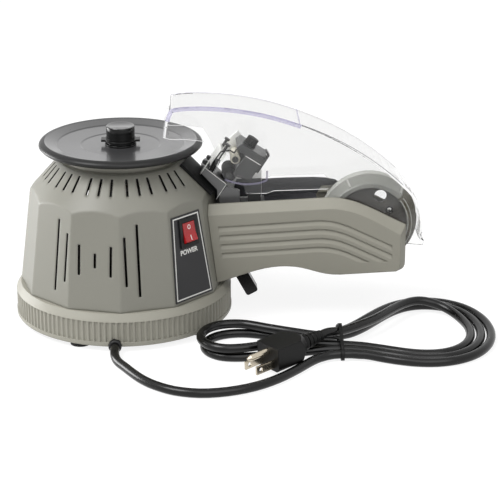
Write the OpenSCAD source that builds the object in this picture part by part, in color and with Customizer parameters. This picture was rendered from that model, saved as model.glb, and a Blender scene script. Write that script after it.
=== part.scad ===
// Electric tape dispenser: a carousel on a twelve-sided housing, fed by an arm with a reel and a cutter.
// The carousel turns about Z, the arm lies along +X and the floor is Z = 0. Millimetres.

/* [Base and housing] */
// Radius of the ribbed foot ring
ring_r = 85.5; // [80:0.5:95]
// Height of the gap below the foot ring
ring_lift = 4.5; // [3:0.5:8]
// Top of the ribbed band
rib_top = 24; // [18:1:30]
// Number of ribs around the foot ring
rib_count = 120; // [60:4:160]
// Depth of one rib
rib_depth = 1.1; // [0.4:0.1:2]
// Wall of the foot ring
ring_wall = 4; // [3:0.5:6]
// Height where the housing stands on the foot ring
seat_z = 30; // [28:0.5:36]
// Corner radius of the housing at its seat
corner_low = 81.3; // [78:0.1:83]
// Corner radius of the housing at its shoulder
corner_high = 71.8; // [66:0.2:76]
// Height of the shoulder corners
shoulder_z = 103.6; // [96:0.2:110]
// Radius of the neck below the carousel
neck_r = 44.5; // [40:0.5:48]
// Top of the neck
neck_top = 134; // [131:0.5:135]
// Wall of the housing
shell = 2.6; // [1.6:0.2:4]
// Width of a ventilation slot
slot_w = 1.8; // [1:0.1:2.6]
// Length of the longest side slot
slot_long = 56; // [40:1:58]
// Radius of a rubber foot
foot_r = 8; // [5:0.5:10]
// Thickness of the base plate
plate_t = 3; // [2:0.5:4]

/* [Carousel] */
// Radius of the carousel lip
disc_r = 63.5; // [60:0.5:66]
// Radius of the raised rim edge
rim_r = 59; // [56:0.5:60]
// Height of the raised rim edge
rim_z = 143.6; // [141:0.2:146]
// Height of the flat middle of the carousel
dish_z = 139; // [138.5:0.1:140]
// Radius of the flat middle
dish_r = 30; // [26:1:36]
// Radius of the knob
knob_r = 11; // [9:0.5:13]
// Top of the knob
knob_top = 154; // [150:0.5:160]
// Radius of the spindle
spindle_r = 4; // [3:0.5:6]

/* [Arm] */
// Half of the arm's width
arm_half = 28; // [25:0.5:30]
// Width of the sloped edge along the arm's top
bevel_y = 6; // [4:0.5:8]
// Wall of the arm shells
arm_wall = 2.6; // [2:0.2:3.4]
// Width of a groove in the arm's side
groove_w = 4.8; // [3:0.2:6]
// Depth of a groove
groove_d = 1.2; // [0.4:0.1:1.4]
// Distance between neighbouring grooves
groove_step = 7.3; // [6.2:0.1:7.6]
// Thickness of the lining between the arm's walls
lining = 1; // [0.6:0.1:1.1]
// Length of the arm from the carousel axis
arm_end = 221.7; // [216:0.1:228]

/* [Reel and cover] */
// Distance of the reel from the carousel axis
reel_x = 194; // [190:0.5:198]
// Height of the reel
reel_z = 76.5; // [74:0.5:80]
// Radius of the seat for the tape core
reel_r = 38; // [34:0.5:39]
// Half width of the reel
reel_half = 15; // [12:0.5:16]
// Radius of the reel's axle
axle_r = 5; // [3:0.5:6]
// Room between the clear cover and the arm's walls
cover_gap = 1.5; // [1.5:0.1:2]
// Wall of the clear cover
cover_t = 2; // [1.5:0.1:3]
// Radius of the bosses that carry the cover
pivot_r = 9; // [7:0.5:10]

/* [Cutter] */
// Slope of the cutter head
head_tilt = 33; // [28:1:36]
// Half width of the cutter head
head_half = 14; // [11:0.5:15.5]
// Radius of the feed roller
roller_r = 5.5; // [4:0.1:5.7]
// Radius of the roller that presses the tape down
press_r = 4; // [3:0.1:4.2]
// Radius of a roller pin
pin_r = 1.5; // [1:0.1:2]
// Radius of a guide rod
rod_r = 1.2; // [0.8:0.1:1.6]
// Half width of the black guide on the housing's shoulder
guide_half = 22; // [18:0.5:23]
// Thickness of the black guide
guide_t = 2.1; // [1.5:0.1:2.6]

/* [Switch] */
// Width of the rocker
rocker_w = 12.2; // [10:0.1:16]
// Reach of the rocker from its pin
rocker_reach = 8; // [7:0.1:9]
// Height of the rocker on the housing
rocker_z = 84.2; // [80:0.2:86]

/* [Cord] */
// Diameter of the cord
cord_d = 7; // [6:0.1:7.2]
// Distance between neighbouring strands of the hank
strand_step = 7.9; // [7.7:0.1:8.4]

/* [Hidden] */
$fn = 96;
sides = 12;
run_gap = 0.3;
fit_gap = 0.05;
foot_ring_lip = 3.5;
cover_end_r = reel_r + 3.2;
cover_lip = 3.4;
mid_x = (reel_x + (cover_end_r + cover_lip) * cos(17) - ring_r) / 2;
taper = (corner_low - corner_high) / (shoulder_z - seat_z);
flat_tilt = atan(taper * cos(180 / sides));
shoulder_slope = 0.9;
rim_drop = 3;
label_flat = -45;
label_mid_z = 71;
label_t = 0.8;
border_t = 0.3;
switch_w = rocker_w + 2.4;
switch_h = 2 * rocker_reach + 2.4;
switch_y = (rocker_z - label_mid_z) / cos(flat_tilt);
rocker_pin_z = 0.4;
drive_z = 112;
arm_in = arm_half - bevel_y;
cover_half = arm_in - cover_gap;
axle_out = cover_half - cover_t - 2;
end_bevel = 0.67;
deck_t = 3;
core_end = 152;
rest_z = 104;
cover_points = 16;
pivot_stub_r = 3.5;
roller_places = [[-6, 1.4], [-8.9, 14.8]];
rod_u = -19.5;
rod_y = 8;
carrier_low = 8;
blade_half = 10;
spring_r = 2.4;
spring_wire = 0.35;
spring_turns = 5;
reel_at = [reel_x, reel_z];
head_at = [88, 112];
lever_at = [84.8, 48];
lever_dir = -61.6;
lever_pin_r = 2.5;
cord_r = cord_d / 2;
foot_angles = [-116, -39, 39, 116];
foot_place = ring_r - ring_wall - foot_r - 0.5;
side_flats = [for (a = [45 : 30 : 315]) a];
gland_x = -5;
gland_z = 5.6;
gland_r = 5;
gland_out = 2.5;
gland_len = 12;
tie_x = 166;
tie_strands = [[-106.4, 5.1], [-61.8, 5.1], [-80.6, 14.3], [-84.6, 14.3]];
waist_lift = 1.5;
plug_at = [150, -95.5, 16];
plug_turn = 218;
plug_dip = 3.5;
plug_dir = [cos(plug_turn) * cos(plug_dip), sin(plug_turn) * cos(plug_dip), -sin(plug_dip)];
lead_end = [178, -107.4, 5.1];
lead_turn = -11;
lead_heading = [cos(lead_turn), sin(lead_turn), 0];
// Route of the cord from the gland to the tie
lead_route = [
    [gland_x, -ring_r - gland_out, gland_z], [-5, -95, 5.4], [-4.5, -102, 4.4], [-2, -111, 3.7],
    [4, -122, 3.6], [10, -133, 3.6], [17, -144, 3.6], [26, -154, 3.6], [40, -164, 3.6], [58, -169, 3.6],
    [78, -167, 3.6], [98, -159, 3.6], [115, -146.5, 3.6], [129.5, -131, 3.6], [142.3, -116, 4],
    [150.1, -109.9, 4.4], [159.4, -106.4, 4.9], lead_end - cord_d * lead_heading, lead_end
];
// Outer loop of the hank, from the near side of its waist round its right and left ends
hank_loop = [
    [166, -104], [190, -109], [214, -121], [243, -124], [271, -109], [287, -79], [288, -43],
    [275, -10], [246, 7], [213, 0], [187, -33], [167, -62], [141, -69], [115, -61],
    [91, -51], [63, -60], [52, -88], [69, -114], [102, -113], [135, -105]
];
hank_turns = 2.48;
hank_steps = 120;
// Last stretch of the cord, from the hank to the plug
hank_tail = [[197, -53, 12], [183, -68, 12.8], [168, -81, 13.6]];
hank_line = concat(
    [lead_end, lead_end + cord_d * lead_heading],
    [for (i = [3 : hank_steps]) hank_point(i * hank_turns / hank_steps)],
    hank_tail,
    [plug_at - (cord_d + 1) * plug_dir, plug_at]);
hank_gap = min([for (i = [0 : len(hank_line) - 1], j = [i + 5 : 1 : len(hank_line) - 1])
    norm(hank_line[i] - hank_line[j])]) - cord_d;
echo(least_gap_in_hank = hank_gap);
echo(hank_length = len_of(hank_line), lead_length = len_of(lead_route));

function corner(z) = corner_low - taper * (z - seat_z);
function apothem(z) = corner(z) * cos(180 / sides);
function cone_z(r) = shoulder_z + (corner_high - r) / shoulder_slope;
function bezier(p, n, first = 0) = [for (i = [first : n])
    let (t = i / n, s = 1 - t)
    s * s * s * p[0] + 3 * s * s * t * p[1] + 3 * s * t * t * p[2] + t * t * t * p[3]];
function arc(c, r, a0, a1, n) = [for (i = [0 : n])
    let (a = a0 + (a1 - a0) * i / n) c + r * [cos(a), sin(a)]];

// Shapes that repeat

// Moves a sub-part from the carousel axis to the frame whose origin is under the middle of the dispenser
module placed() {
    translate([-mid_x, 0, 0]) children();
}

// Extrudes a side view, drawn in X and Z, from y0 to y1
module side(y0, y1) {
    translate([0, y1, 0]) rotate([90, 0, 0]) linear_extrude(y1 - y0) children();
}

// A round bar across the arm at the point p of the side view
module bar(p, r, y0, y1) {
    translate([p[0], y0, p[1]]) rotate([-90, 0, 0]) cylinder(h = y1 - y0, r = r);
}

// Local frame on a flat of the housing: X along the flat, Y up it and Z outwards
module on_flat(a, z) {
    rotate([0, 0, a]) translate([apothem(z), 0, z]) rotate([0, -flat_tilt, 0]) rotate([90, 0, 90]) children();
}

// Local frame of the sloped cutter head, a side view again
module in_head() {
    translate([head_at[0], 0, head_at[1]]) rotate([0, head_tilt, 0]) children();
}

// Flat-bottomed solid of the housing, grown by g
module housing_solid(g, z0) {
    intersection() {
        housing_flats(g, z0);
        dome(g, z0);
    }
    translate([0, 0, shoulder_z]) cylinder(h = neck_top + g - shoulder_z, r = neck_r + g);
}

// The flats alone, without the cone above them
module housing_flats(g, z0) {
    translate([0, 0, z0])
        cylinder(h = neck_top - z0, r1 = corner(z0) + g, r2 = corner(neck_top) + g, $fn = sides);
}

// The cone above the flats
module dome(g, z0) {
    top_r = neck_r + 4;
    rotate_extrude() polygon([
        [0, z0],
        [corner_low + 12, z0],
        [corner_low + 12, cone_z(corner_low + 12) + 1.4 * g],
        [top_r, cone_z(top_r) + 1.4 * g],
        [0, cone_z(top_r) + 1.4 * g]
    ]);
}

// Base and housing

module base_plate() {
    color("dimgray") placed() difference() {
        translate([0, 0, ring_lift]) cylinder(h = plate_t, r = ring_r - ring_wall - fit_gap);
        for (a = foot_angles)
            rotate([0, 0, a]) translate([foot_place, 0, 0]) cylinder(h = 20, r = 2.5);
        translate([gland_x, -ring_r, gland_z]) rotate([-90, 0, 0])
            cylinder(h = gland_len - gland_out, r = gland_r);
    }
}

module base_ring() {
    lip_top = ring_lift + foot_ring_lip;
    color("darkgray") placed() difference() {
        union() {
            translate([0, 0, lip_top]) linear_extrude(rib_top - lip_top) ribbed_circle();
            rotate_extrude() polygon([
                [ring_r - ring_wall, ring_lift],
                [ring_r - 0.6, ring_lift],
                [ring_r, ring_lift + 0.8],
                [ring_r, lip_top],
                [ring_r - ring_wall, lip_top]
            ]);
            rotate_extrude() polygon([
                [ring_r - ring_wall, rib_top],
                [ring_r - 0.3, rib_top],
                [ring_r - 1.2, rib_top + 1.6],
                [corner_low + 0.8, seat_z - 1],
                [corner_low + 0.2, seat_z],
                [corner_low - 9, seat_z],
                [corner_low - 9, seat_z - 3],
                [ring_r - ring_wall - 2, rib_top + 2]
            ]);
        }
        translate([gland_x, -ring_r - 5, gland_z]) rotate([-90, 0, 0]) cylinder(h = 20, r = gland_r);
        translate([gland_x - gland_r, -ring_r - 5, 0]) cube([2 * gland_r, 20, gland_z]);
    }
}

// Outline of the ribbed band with its bore
module ribbed_circle() {
    step = 360 / rib_count;
    difference() {
        polygon([for (i = [0 : rib_count - 1], k = [[0, 1], [0.3, 1], [0.5, 0], [0.8, 0]])
            let (a = (i + k[0]) * step, r = ring_r - 0.4 - rib_depth * (1 - k[1])) r * [cos(a), sin(a)]]);
        circle(r = ring_r - ring_wall);
    }
}

module main_housing() {
    color("tan") placed() difference() {
        housing_solid(0, seat_z);
        difference() {
            housing_solid(-shell, seat_z - 1);
            translate([0, 0, neck_top - shell - 1]) cylinder(h = shell + 2, r = neck_r + 1);
        }
        translate([0, 0, neck_top - 12]) cylinder(h = 14, r = 13);
        for (a = side_flats) upper_vents(a);
        for (s = [-1, 1]) side_vents(s);
        on_flat(label_flat, rocker_z) translate([0, 0, -6]) linear_extrude(8)
            square([switch_w + 0.4, switch_h + 0.4], center = true);
        bore_bay();
    }
}

// Passage from the housing into the arm
module bore_bay() {
    translate([corner_high - 14, -12, 56]) cube([30, 24, 22]);
}

// Three sloped slots above one flat
module upper_vents(a) {
    for (k = [-1 : 1])
        rotate([0, 0, a + 9 * k]) translate([51, -slot_w / 2, 100]) cube([9.5, slot_w, 40]);
}

// Slots that grow longer away from the middle of a flat
module side_vents(s) {
    for (v = [[105, -12.5, 0.42], [105, 0, 0.2], [105, 12.5, 0.42], [75, 15.5, 0.68], [75, 5.5, 1],
              [135, -15.5, 0.68], [135, -5.5, 1]])
        on_flat(s * v[0], 69) translate([s * v[1], 0, -6]) linear_extrude(12)
            square([slot_w, slot_long * v[2]], center = true);
}

module rubber_feet() {
    color("black") placed() for (a = foot_angles)
        rotate([0, 0, a]) translate([foot_place, 0, 0]) union() {
            cylinder(h = ring_lift, r = foot_r);
            cylinder(h = ring_lift + plate_t + 1, r = 2.5);
        }
}

// Outline of the label, drawn in by i
module label_outline(i) {
    polygon([[-19.9 + i, -38.9 + i], [20 - i, -38.9 + i], [13.7 - i, 27.7 - i], [-16 + i, 27.7 - i]]);
}

module label_plate() {
    color("black") placed() on_flat(label_flat, label_mid_z) difference() {
        linear_extrude(label_t) label_outline(0);
        label_frame();
        translate([0, switch_y, -1]) linear_extrude(4) square([switch_w, switch_h], center = true);
    }
}

// The border line, set into the label
module label_frame() {
    translate([0, 0, label_t - border_t]) linear_extrude(border_t) difference() {
        label_outline(1.3);
        label_outline(2.3);
    }
}

module label_border() {
    color("white") placed() on_flat(label_flat, label_mid_z) label_frame();
}

module switch_frame() {
    flange = 4;
    color("black") placed() on_flat(label_flat, rocker_z) difference() {
        union() {
            translate([0, 0, label_t]) linear_extrude(1.4)
                square([switch_w + flange, switch_h + flange], center = true);
            translate([0, 0, -13]) linear_extrude(13 + label_t) square([switch_w, switch_h], center = true);
        }
        translate([0, 0, -11.5]) linear_extrude(20)
            square([rocker_w + 2 * run_gap, 2 * rocker_reach + 2 * run_gap], center = true);
        translate([-switch_w, 0, rocker_pin_z]) rotate([0, 90, 0])
            cylinder(h = 2 * switch_w, r = pin_r + fit_gap);
    }
}

module power_rocker() {
    r = rocker_reach;
    color("red") placed() on_flat(label_flat, rocker_z) union() {
        translate([rocker_w / 2, 0, rocker_pin_z]) rotate([0, -90, 0]) linear_extrude(rocker_w)
            intersection() {
                circle(r = r);
                polygon([
                    [-7, -5], [-2, -r - 1], [5.2, -r - 1], [4.6, -r + 1], [2.6, -1],
                    [2.2, 1], [1.6, r + 1], [-2, r + 1], [-7, 5]
                ]);
            }
        translate([-switch_w / 2 + run_gap, 0, rocker_pin_z]) rotate([0, 90, 0])
            cylinder(h = switch_w - 2 * run_gap, r = pin_r);
    }
}

// Drive inside the housing

module motor_plate() {
    color("silver") placed() difference() {
        union() {
            translate([0, 0, drive_z]) cylinder(h = 3, r = 36);
            for (a = [30 : 120 : 270])
                rotate([0, 0, a]) translate([30, 0, drive_z])
                    cylinder(h = neck_top - shell - 1 - drive_z, r = 3.5);
        }
        translate([0, 0, drive_z - 1]) cylinder(h = 6, r = 8);
    }
}

module spindle_bearing() {
    color("peru") placed() difference() {
        translate([0, 0, drive_z]) cylinder(h = 8, r = 8);
        translate([0, 0, drive_z - 1]) cylinder(h = 12, r = spindle_r + fit_gap);
    }
}

module gearbox() {
    color("gray") placed() difference() {
        translate([0, 0, drive_z - 22]) cylinder(h = 22, r = 19);
        translate([0, 0, drive_z - 12]) cylinder(h = 14, r = spindle_r + fit_gap);
    }
}

module motor_body() {
    color("dimgray") placed() union() {
        translate([0, 0, drive_z - 64]) cylinder(h = 42, r = 17);
        translate([0, 0, drive_z - 67]) cylinder(h = 3, r = 7);
    }
}

module control_board() {
    color("darkgreen") placed() union() {
        translate([-50, -26, ring_lift + plate_t + 8]) cube([34, 52, 1.6]);
        for (x = [-46, -20], y = [-22, 22])
            translate([x, y, ring_lift + plate_t]) cylinder(h = 8, r = 2.4);
        translate([-44, -18, ring_lift + plate_t + 9.6]) cube([16, 20, 14]);
        translate([-38, 12, ring_lift + plate_t + 9.6]) cylinder(h = 16, r = 6);
    }
}

// Carousel

module spindle() {
    color("silver") placed() translate([0, 0, drive_z - 11.5])
        cylinder(h = knob_top - 4 - drive_z + 11.5, r = spindle_r);
}

module turntable() {
    low = neck_top + 1;
    color("dimgray") placed() difference() {
        union() {
            rotate_extrude() polygon(concat([
                [spindle_r, low],
                [51, low],
                [disc_r - 1.6, rim_z - rim_drop - 2.4]
            ], bezier([[disc_r, rim_z - rim_drop - 0.6], [disc_r, rim_z - rim_drop + 1.2],
                       [disc_r - 2, rim_z - 0.3], [rim_r, rim_z]], 8), [
                [rim_r - 1.4, rim_z - 0.6],
                [50, dish_z + 1.9],
                [49, dish_z + 1.2],
                [dish_r + 1.5, dish_z + 0.5],
                [dish_r, dish_z],
                [spindle_r, dish_z]
            ]));
            translate([0, 0, neck_top - 6]) cylinder(h = 8, r = 10);
        }
        translate([0, 0, neck_top - 8]) cylinder(h = 20, r = spindle_r);
    }
}

module turntable_knob() {
    top = knob_top;
    color("black") placed() rotate_extrude() difference() {
        polygon(concat(
            [[0, dish_z], [knob_r + 1.2, dish_z], [knob_r + 1.2, dish_z + 1.4], [knob_r, dish_z + 2]],
            bezier([[knob_r, top - 4], [knob_r, top - 1.6], [knob_r - 1.4, top], [knob_r - 4, top]], 8),
            [[0, top]]));
        square([spindle_r, top - 4]);
    }
}

module knob_clip() {
    color("black") placed() translate([0, 0, dish_z + 3.2]) difference() {
        union() {
            cylinder(h = 1.6, r = knob_r + 1.6);
            translate([-knob_r - 4, -4, 0]) cube([2 * knob_r + 8, 8, 1.6]);
        }
        translate([0, 0, -1]) cylinder(h = 4, r = knob_r);
    }
}

// Arm

// Side view of the arm out to its crown, or of its flat face drawn in by the sloped edge
function arm_outline(d) = concat(
    [[60, seat_z + 0.4 + d / 6], [78, seat_z + 3.4 + d / 6]],
    bezier([[78, seat_z + 3.4 + d / 6], [100, 41 + d / 6], [112, 45.6 + d / 6], [128, 45.2 + d / 6]], 8, 1),
    bezier([[128, 45.2 + d / 6], [146, 44.8 + d / 6], [152, 37.4 + d / 6], [170, 37.6 + d / 6]], 8, 1),
    [[arm_end - 7 - 0.3 * d, 39.6 + d / 6]],
    bezier([[arm_end - 6.4 - 0.2 * d, 39.6 + d / 6], [arm_end - 2 - end_bevel * d, 39.8 + d / 6],
            [arm_end - end_bevel * d, 42 + d / 6], [arm_end - end_bevel * d, 47]], 5),
    [[arm_end - end_bevel * d, 78 - d]],
    bezier([[arm_end - 2 - end_bevel * d, 79 - d], [200, 88 - 1.1 * d], [182, 101.2 - 1.1 * d],
            [161, 101 - 1.1 * d]], 12),
    [[60, 96.4 - 1.1 * d]]);

// A solid between two side views that have the same points
module loft(a, ya, b, yb) {
    n = len(a);
    polyhedron(
        points = concat([for (p = a) [p[0], ya, p[1]]], [for (p = b) [p[0], yb, p[1]]]),
        faces = concat([[for (i = [0 : n - 1]) n - 1 - i]], [[for (i = [0 : n - 1]) n + i]],
            [for (i = [0 : n - 1]) [i, n + (i + 1) % n, n + i]],
            [for (i = [0 : n - 1]) [i, (i + 1) % n, n + (i + 1) % n]]));
}

// Line of groove k along the arm, turning down towards its end
function groove_line(k) =
    let (z = 79.2 - groove_step * k)
    concat([[60, z - 1]],
        bezier([[148, z + 4.1], [160, z + 4.8], [168, z + 3.2], [180, z - 2.6]], 8),
        [[215, z - 19.6]]);

// Side view of a groove between two heights beside its line
function groove_band(k, low, high) =
    let (p = groove_line(k), n = len(p) - 1)
    concat([for (i = [0 : n]) p[i] + [0, low]], [for (i = [0 : n]) p[n - i] + [0, high]]);

// Four grooves with a steep upper face and a shallow lower one
module grooves() {
    for (k = [0 : 3]) intersection() {
        loft(groove_band(k, -0.81 * groove_w, 0.19 * groove_w), -arm_half - 0.1,
            groove_band(k, -0.15 * groove_w, -0.1 * groove_w), -arm_half + groove_d);
        side(-arm_half - 1, -arm_half + groove_d + 1)
            translate([74.8 + 0.9 * k, 49]) square([135.7 - 0.9 * k, 40]);
    }
}

module arm_shell() {
    difference() {
        loft(arm_outline(7), -arm_half, arm_outline(0), -arm_in);
        side(-arm_half + arm_wall, -arm_in + 1) offset(delta = -arm_wall) polygon(arm_outline(7));
        housing_flats(run_gap, seat_z - 12);
        grooves();
    }
}

module arm_front_shell() {
    color("tan") placed() arm_shell();
}

module arm_rear_shell() {
    color("tan") placed() mirror([0, 1, 0]) arm_shell();
}

// Top of the deck between the arm's walls
function deck_z(x) = 86 + 0.045 * (x - 66);

// Top edge of the arm's walls at their inner side
function crown_z(x) = 96.4 + 0.0455 * (x - 60);

module arm_core() {
    color("dimgray") placed() difference() {
        side(-arm_in, arm_in) polygon([
            [60, 37.5], [84, 40], [110, 48], [core_end, 48],
            [core_end, deck_z(core_end) - deck_t], [60, deck_z(60) - deck_t]
        ]);
        side(-arm_in + arm_wall, arm_in - arm_wall) polygon([
            [50, 30], [core_end - arm_wall, 30],
            [core_end - arm_wall, deck_z(core_end) - 2 * deck_t], [50, deck_z(50) - 2 * deck_t]
        ]);
        housing_solid(run_gap, seat_z - 12);
        bar(lever_at, lever_pin_r, -arm_half, arm_half);
    }
}

// Floor of the arm between two upright linings
module arm_deck() {
    far = core_end + 2;
    color("dimgray") placed() difference() {
        union() {
            side(-arm_in, arm_in) polygon([
                [60, deck_z(60) - deck_t], [far, deck_z(far) - deck_t], [far, deck_z(far)], [60, deck_z(60)]
            ]);
            for (s = [0, 1]) mirror([0, s, 0]) side(-arm_in, -arm_in + lining) polygon([
                [60, deck_z(60) - 1], [far, deck_z(far) - 1],
                [far + 6, crown_z(far) - 1.2], [60, crown_z(60) - 1.2]
            ]);
        }
        housing_solid(run_gap, seat_z - 12);
    }
}

// Black guide that follows the cone of the shoulder
module shoulder_guide() {
    low = neck_r + 6;
    high = corner_high + 0.5;
    color("black") placed() intersection() {
        rotate_extrude() polygon([
            [low, cone_z(low) + run_gap], [high, cone_z(high) + run_gap],
            [high + 1.6, cone_z(high) + guide_t], [low + 1, cone_z(low) + run_gap + guide_t]
        ]);
        translate([0, -guide_half, 0]) cube([2 * corner_low, 2 * guide_half, 2 * neck_top]);
    }
}

// Reel

module reel_axle() {
    color("silver") placed() bar(reel_at, axle_r, -axle_out, arm_in);
}

module reel_washer() {
    color("silver") placed() difference() {
        bar(reel_at, 8, reel_half + run_gap, cover_half - cover_t);
        bar(reel_at, axle_r, reel_half, cover_half);
    }
}

module axle_nut() {
    color("black") placed() difference() {
        bar(reel_at, 8, -axle_out, -reel_half + 2.2);
        bar(reel_at, axle_r, -axle_out - 1, reel_half);
    }
}

// Section of the reel from its axle outwards, drawn as radius and place along the axle
module reel_section() {
    h = reel_half;
    bore = axle_r + fit_gap;
    polygon([
        [bore, -h + 2.6], [9, -h + 2.6], [9, -h + 6], [28.6, -h + 6], [29, -h + 0.6], [29.6, -h],
        [32.6, -h], [33.4, -h + 0.8], [reel_r - 0.4, -4], [reel_r, -3.6], [reel_r, 3.6],
        [reel_r - 0.4, 4], [33.4, h - 0.8], [32.6, h], [29.6, h], [29, h - 0.6], [29, h - 6],
        [reel_r - 3, 3], [reel_r - 3, -3], [31.6, -h + 8.6], [9, -h + 8.6], [9, h], [bore, h]
    ]);
}

module tape_reel() {
    rib_slope = atan((reel_r - 34.4) / (reel_half - 4.6));
    rib_length = (reel_half - 4.6) / cos(rib_slope);
    color("lightgray") placed() translate([reel_x, 0, reel_z]) rotate([-90, 0, 0]) difference() {
        union() {
            rotate_extrude() reel_section();
            for (a = [26 : 72 : 314])
                rotate([0, 0, a]) translate([32.4, -0.8, -reel_half + 1.4]) rotate([0, rib_slope, 0])
                    cube([2, 1.6, rib_length]);
        }
        for (a = [68 : 120 : 308])
            rotate([0, 0, -a]) translate([22.4, 0, -reel_half]) cylinder(h = 12, r = 5);
    }
}

// Cover

// Crown of the cover, from its left end over the reel and round to its lower lip
function cover_crown() = concat(
    [[33, 150], [34.5, 161], [38, 171]],
    bezier([[39, 172.6], [52, 176.4], [92, 174.4], [122, 165]], cover_points),
    bezier([[122, 165], [152, 155.6], reel_at + cover_end_r * [cos(45), sin(45)] + [-36, 36],
            reel_at + cover_end_r * [cos(45), sin(45)]], cover_points, 1),
    arc(reel_at, cover_end_r, 40, -14, 9),
    arc(reel_at, cover_end_r + cover_lip, -17, -22, 1));

module cover_panel() {
    polygon(concat(cover_crown(), [
        [reel_x + 16, reel_z - 14], [reel_x, reel_z - 16], [reel_x - 14, reel_z - 8],
        [reel_x - 20, reel_z + 14], [160, rest_z + 3], [118, rest_z + 2], [113, rest_z], [96, rest_z],
        [95, 110.5], [82, 114], [74, 127], [69, 138], [64, 146.5], [50, 148.2], [38, 148.3]
    ]));
}

// Roof of the cover, a band along the crown
module cover_roof() {
    difference() {
        polygon(concat(cover_crown(), [[reel_x, reel_z], [120, 120], [60, 140]]));
        offset(delta = -cover_t)
            polygon(concat(cover_crown(), [[reel_x, reel_z - 6], [118, 108], [58, 120], [20, 140]]));
        polygon([[reel_x - 9, reel_z], [reel_x + 60, reel_z - 18], [reel_x, reel_z - 30]]);
    }
}

module clear_cover() {
    color("lavender") placed() difference() {
        union() {
            side(-cover_half, -cover_half + cover_t) cover_panel();
            side(cover_half - cover_t, cover_half) cover_panel();
            side(-cover_half, cover_half) cover_roof();
        }
        bar(reel_at, pivot_r + fit_gap, -arm_half, arm_half);
    }
}

module cover_pivots() {
    color("dimgray") placed() difference() {
        for (s = [0, 1]) mirror([0, s, 0]) union() {
            bar(reel_at, pivot_stub_r, -arm_half + arm_wall, -arm_in);
            bar(reel_at, pivot_r, -arm_in, -cover_half + cover_t);
            bar(reel_at, pivot_r + 2, -arm_in, -cover_half - run_gap);
        }
        bar(reel_at, axle_r, 0, arm_in);
    }
}

module cover_rests() {
    color("black") placed() for (s = [-1, 1])
        side(s * (cover_half - cover_t / 2) - 1.2, s * (cover_half - cover_t / 2) + 1.2)
            polygon([[98, deck_z(98)], [108, deck_z(108)], [108, rest_z - run_gap], [98, rest_z - run_gap]]);
}

// Cutter head

module cutter_base() {
    color("dimgray") placed() difference() {
        union() {
            in_head() side(-head_half, head_half - 2)
                polygon([[-25.2, -2.6], [-4, -5], [-4, -20], [-14, -24], [-25.2, -18]]);
            side(-head_half, head_half - 2) polygon([
                [75.5, deck_z(75.5)], [86, deck_z(86)], [86, deck_z(86) + deck_t], [81, 104], [76, 101]
            ]);
            side(-head_half, -head_half + 3) polygon([
                [75.5, deck_z(75.5)], [92.5, deck_z(92.5)], [92, 104.5], [81.6, 108], [76, 101]
            ]);
            side(-head_half, head_half) polygon([
                [75.5, deck_z(75.5)], [112, deck_z(112)], [112, deck_z(112) + deck_t],
                [75.5, deck_z(75.5) + deck_t]
            ]);
        }
        housing_solid(1.2, seat_z - 12);
        shoulder_clear();
        for (s = [-1, 1]) rod_hole(s, rod_r);
        blade_slot();
    }
}

// Slot that takes the edge of the blade at the end of its stroke
module blade_slot() {
    in_head() side(-blade_half - 0.7, blade_half + 0.7)
        polygon([[-23.6, -7.2], [-21.6, -7.2], [-21.6, 0], [-23.6, 0]]);
}

// Room for the guide on the housing's shoulder
module shoulder_clear() {
    high = corner_high + 2.6;
    rise = run_gap + guide_t + 2.1;
    side(-arm_half, arm_half)
        polygon([[neck_r, cone_z(neck_r) + rise], [high, cone_z(high) + rise], [high, 80], [neck_r, 80]]);
}

// Hole for a guide rod, in the head's frame
module rod_hole(s, r) {
    in_head() translate([rod_u, rod_y * s, -8]) cylinder(h = 40, r = r);
}

// Upper block, open below so that the feed roller turns behind its front wall
module cutter_frame() {
    color("dimgray") placed() in_head() union() {
        side(-head_half, head_half - 2) polygon([[-4.5, 8], [9.6, 8.4], [9.7, 22], [-4.5, 22]]);
        side(-head_half, -head_half + 3)
            polygon([[-4.5, 5], [-3.2, 3.4], [4, 5.4], [9.4, 7.2], [9.7, 22], [-4.5, 22]]);
    }
}

module cutter_cap() {
    color("gray") placed() in_head() side(-head_half, head_half - 2)
        polygon([[-13.8, 24], [-10, 22], [9.7, 22], [11.4, 24], [11.4, 28.5], [-12, 28.5]]);
}

// Sheet-metal cheek that carries the rollers and rises behind the upper block
module cutter_cheek() {
    foot = deck_z(84) + deck_t;
    color("silver") placed() difference() {
        side(head_half - 2, head_half) polygon([
            [84, foot], [80.4, 111], [80.4, 118], [88, 124], [85, 127.4], [79.1, 129.4], [78.1, 133.5],
            [87.1, 141.7], [91.6, 145.8], [97.6, 136], [110, 128], [110, deck_z(110) + deck_t]
        ]);
        for (p = roller_places) in_head() bar(p, pin_r, 0, head_half + 1);
    }
}

module roller_pins() {
    color("silver") placed() in_head() for (p = roller_places) {
        bar(p, pin_r, -head_half + 2, head_half);
        bar(p, pin_r + 1, -head_half + 2, -head_half + 3);
    }
}

// One tape roller of radius r on its pin
module roller(p, r) {
    in_head() difference() {
        union() {
            bar(p, r, -head_half + 4, head_half - 3.6);
            bar(p, r - 1.2, -head_half + 3.3, head_half - 2.3);
        }
        bar(p, pin_r + fit_gap, -head_half, head_half);
    }
}

module feed_roller() {
    color("black") placed() roller(roller_places[0], roller_r);
}

module press_roller() {
    color("white") placed() roller(roller_places[1], press_r);
}

module guide_rods() {
    color("black") placed() in_head() for (s = [-1, 1])
        translate([rod_u, rod_y * s, -8]) union() {
            cylinder(h = 28, r = rod_r);
            translate([0, 0, 28]) cylinder(h = 1.5, r = rod_r + 1);
        }
}

module blade_carrier() {
    color("gray") placed() difference() {
        in_head() side(-11.5, 11.5) polygon([
            [-22.3, carrier_low], [-16.8, carrier_low], [-16.8, carrier_low + 6], [-22.3, carrier_low + 7]
        ]);
        for (s = [-1, 1]) rod_hole(s, rod_r + fit_gap);
    }
}

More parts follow.
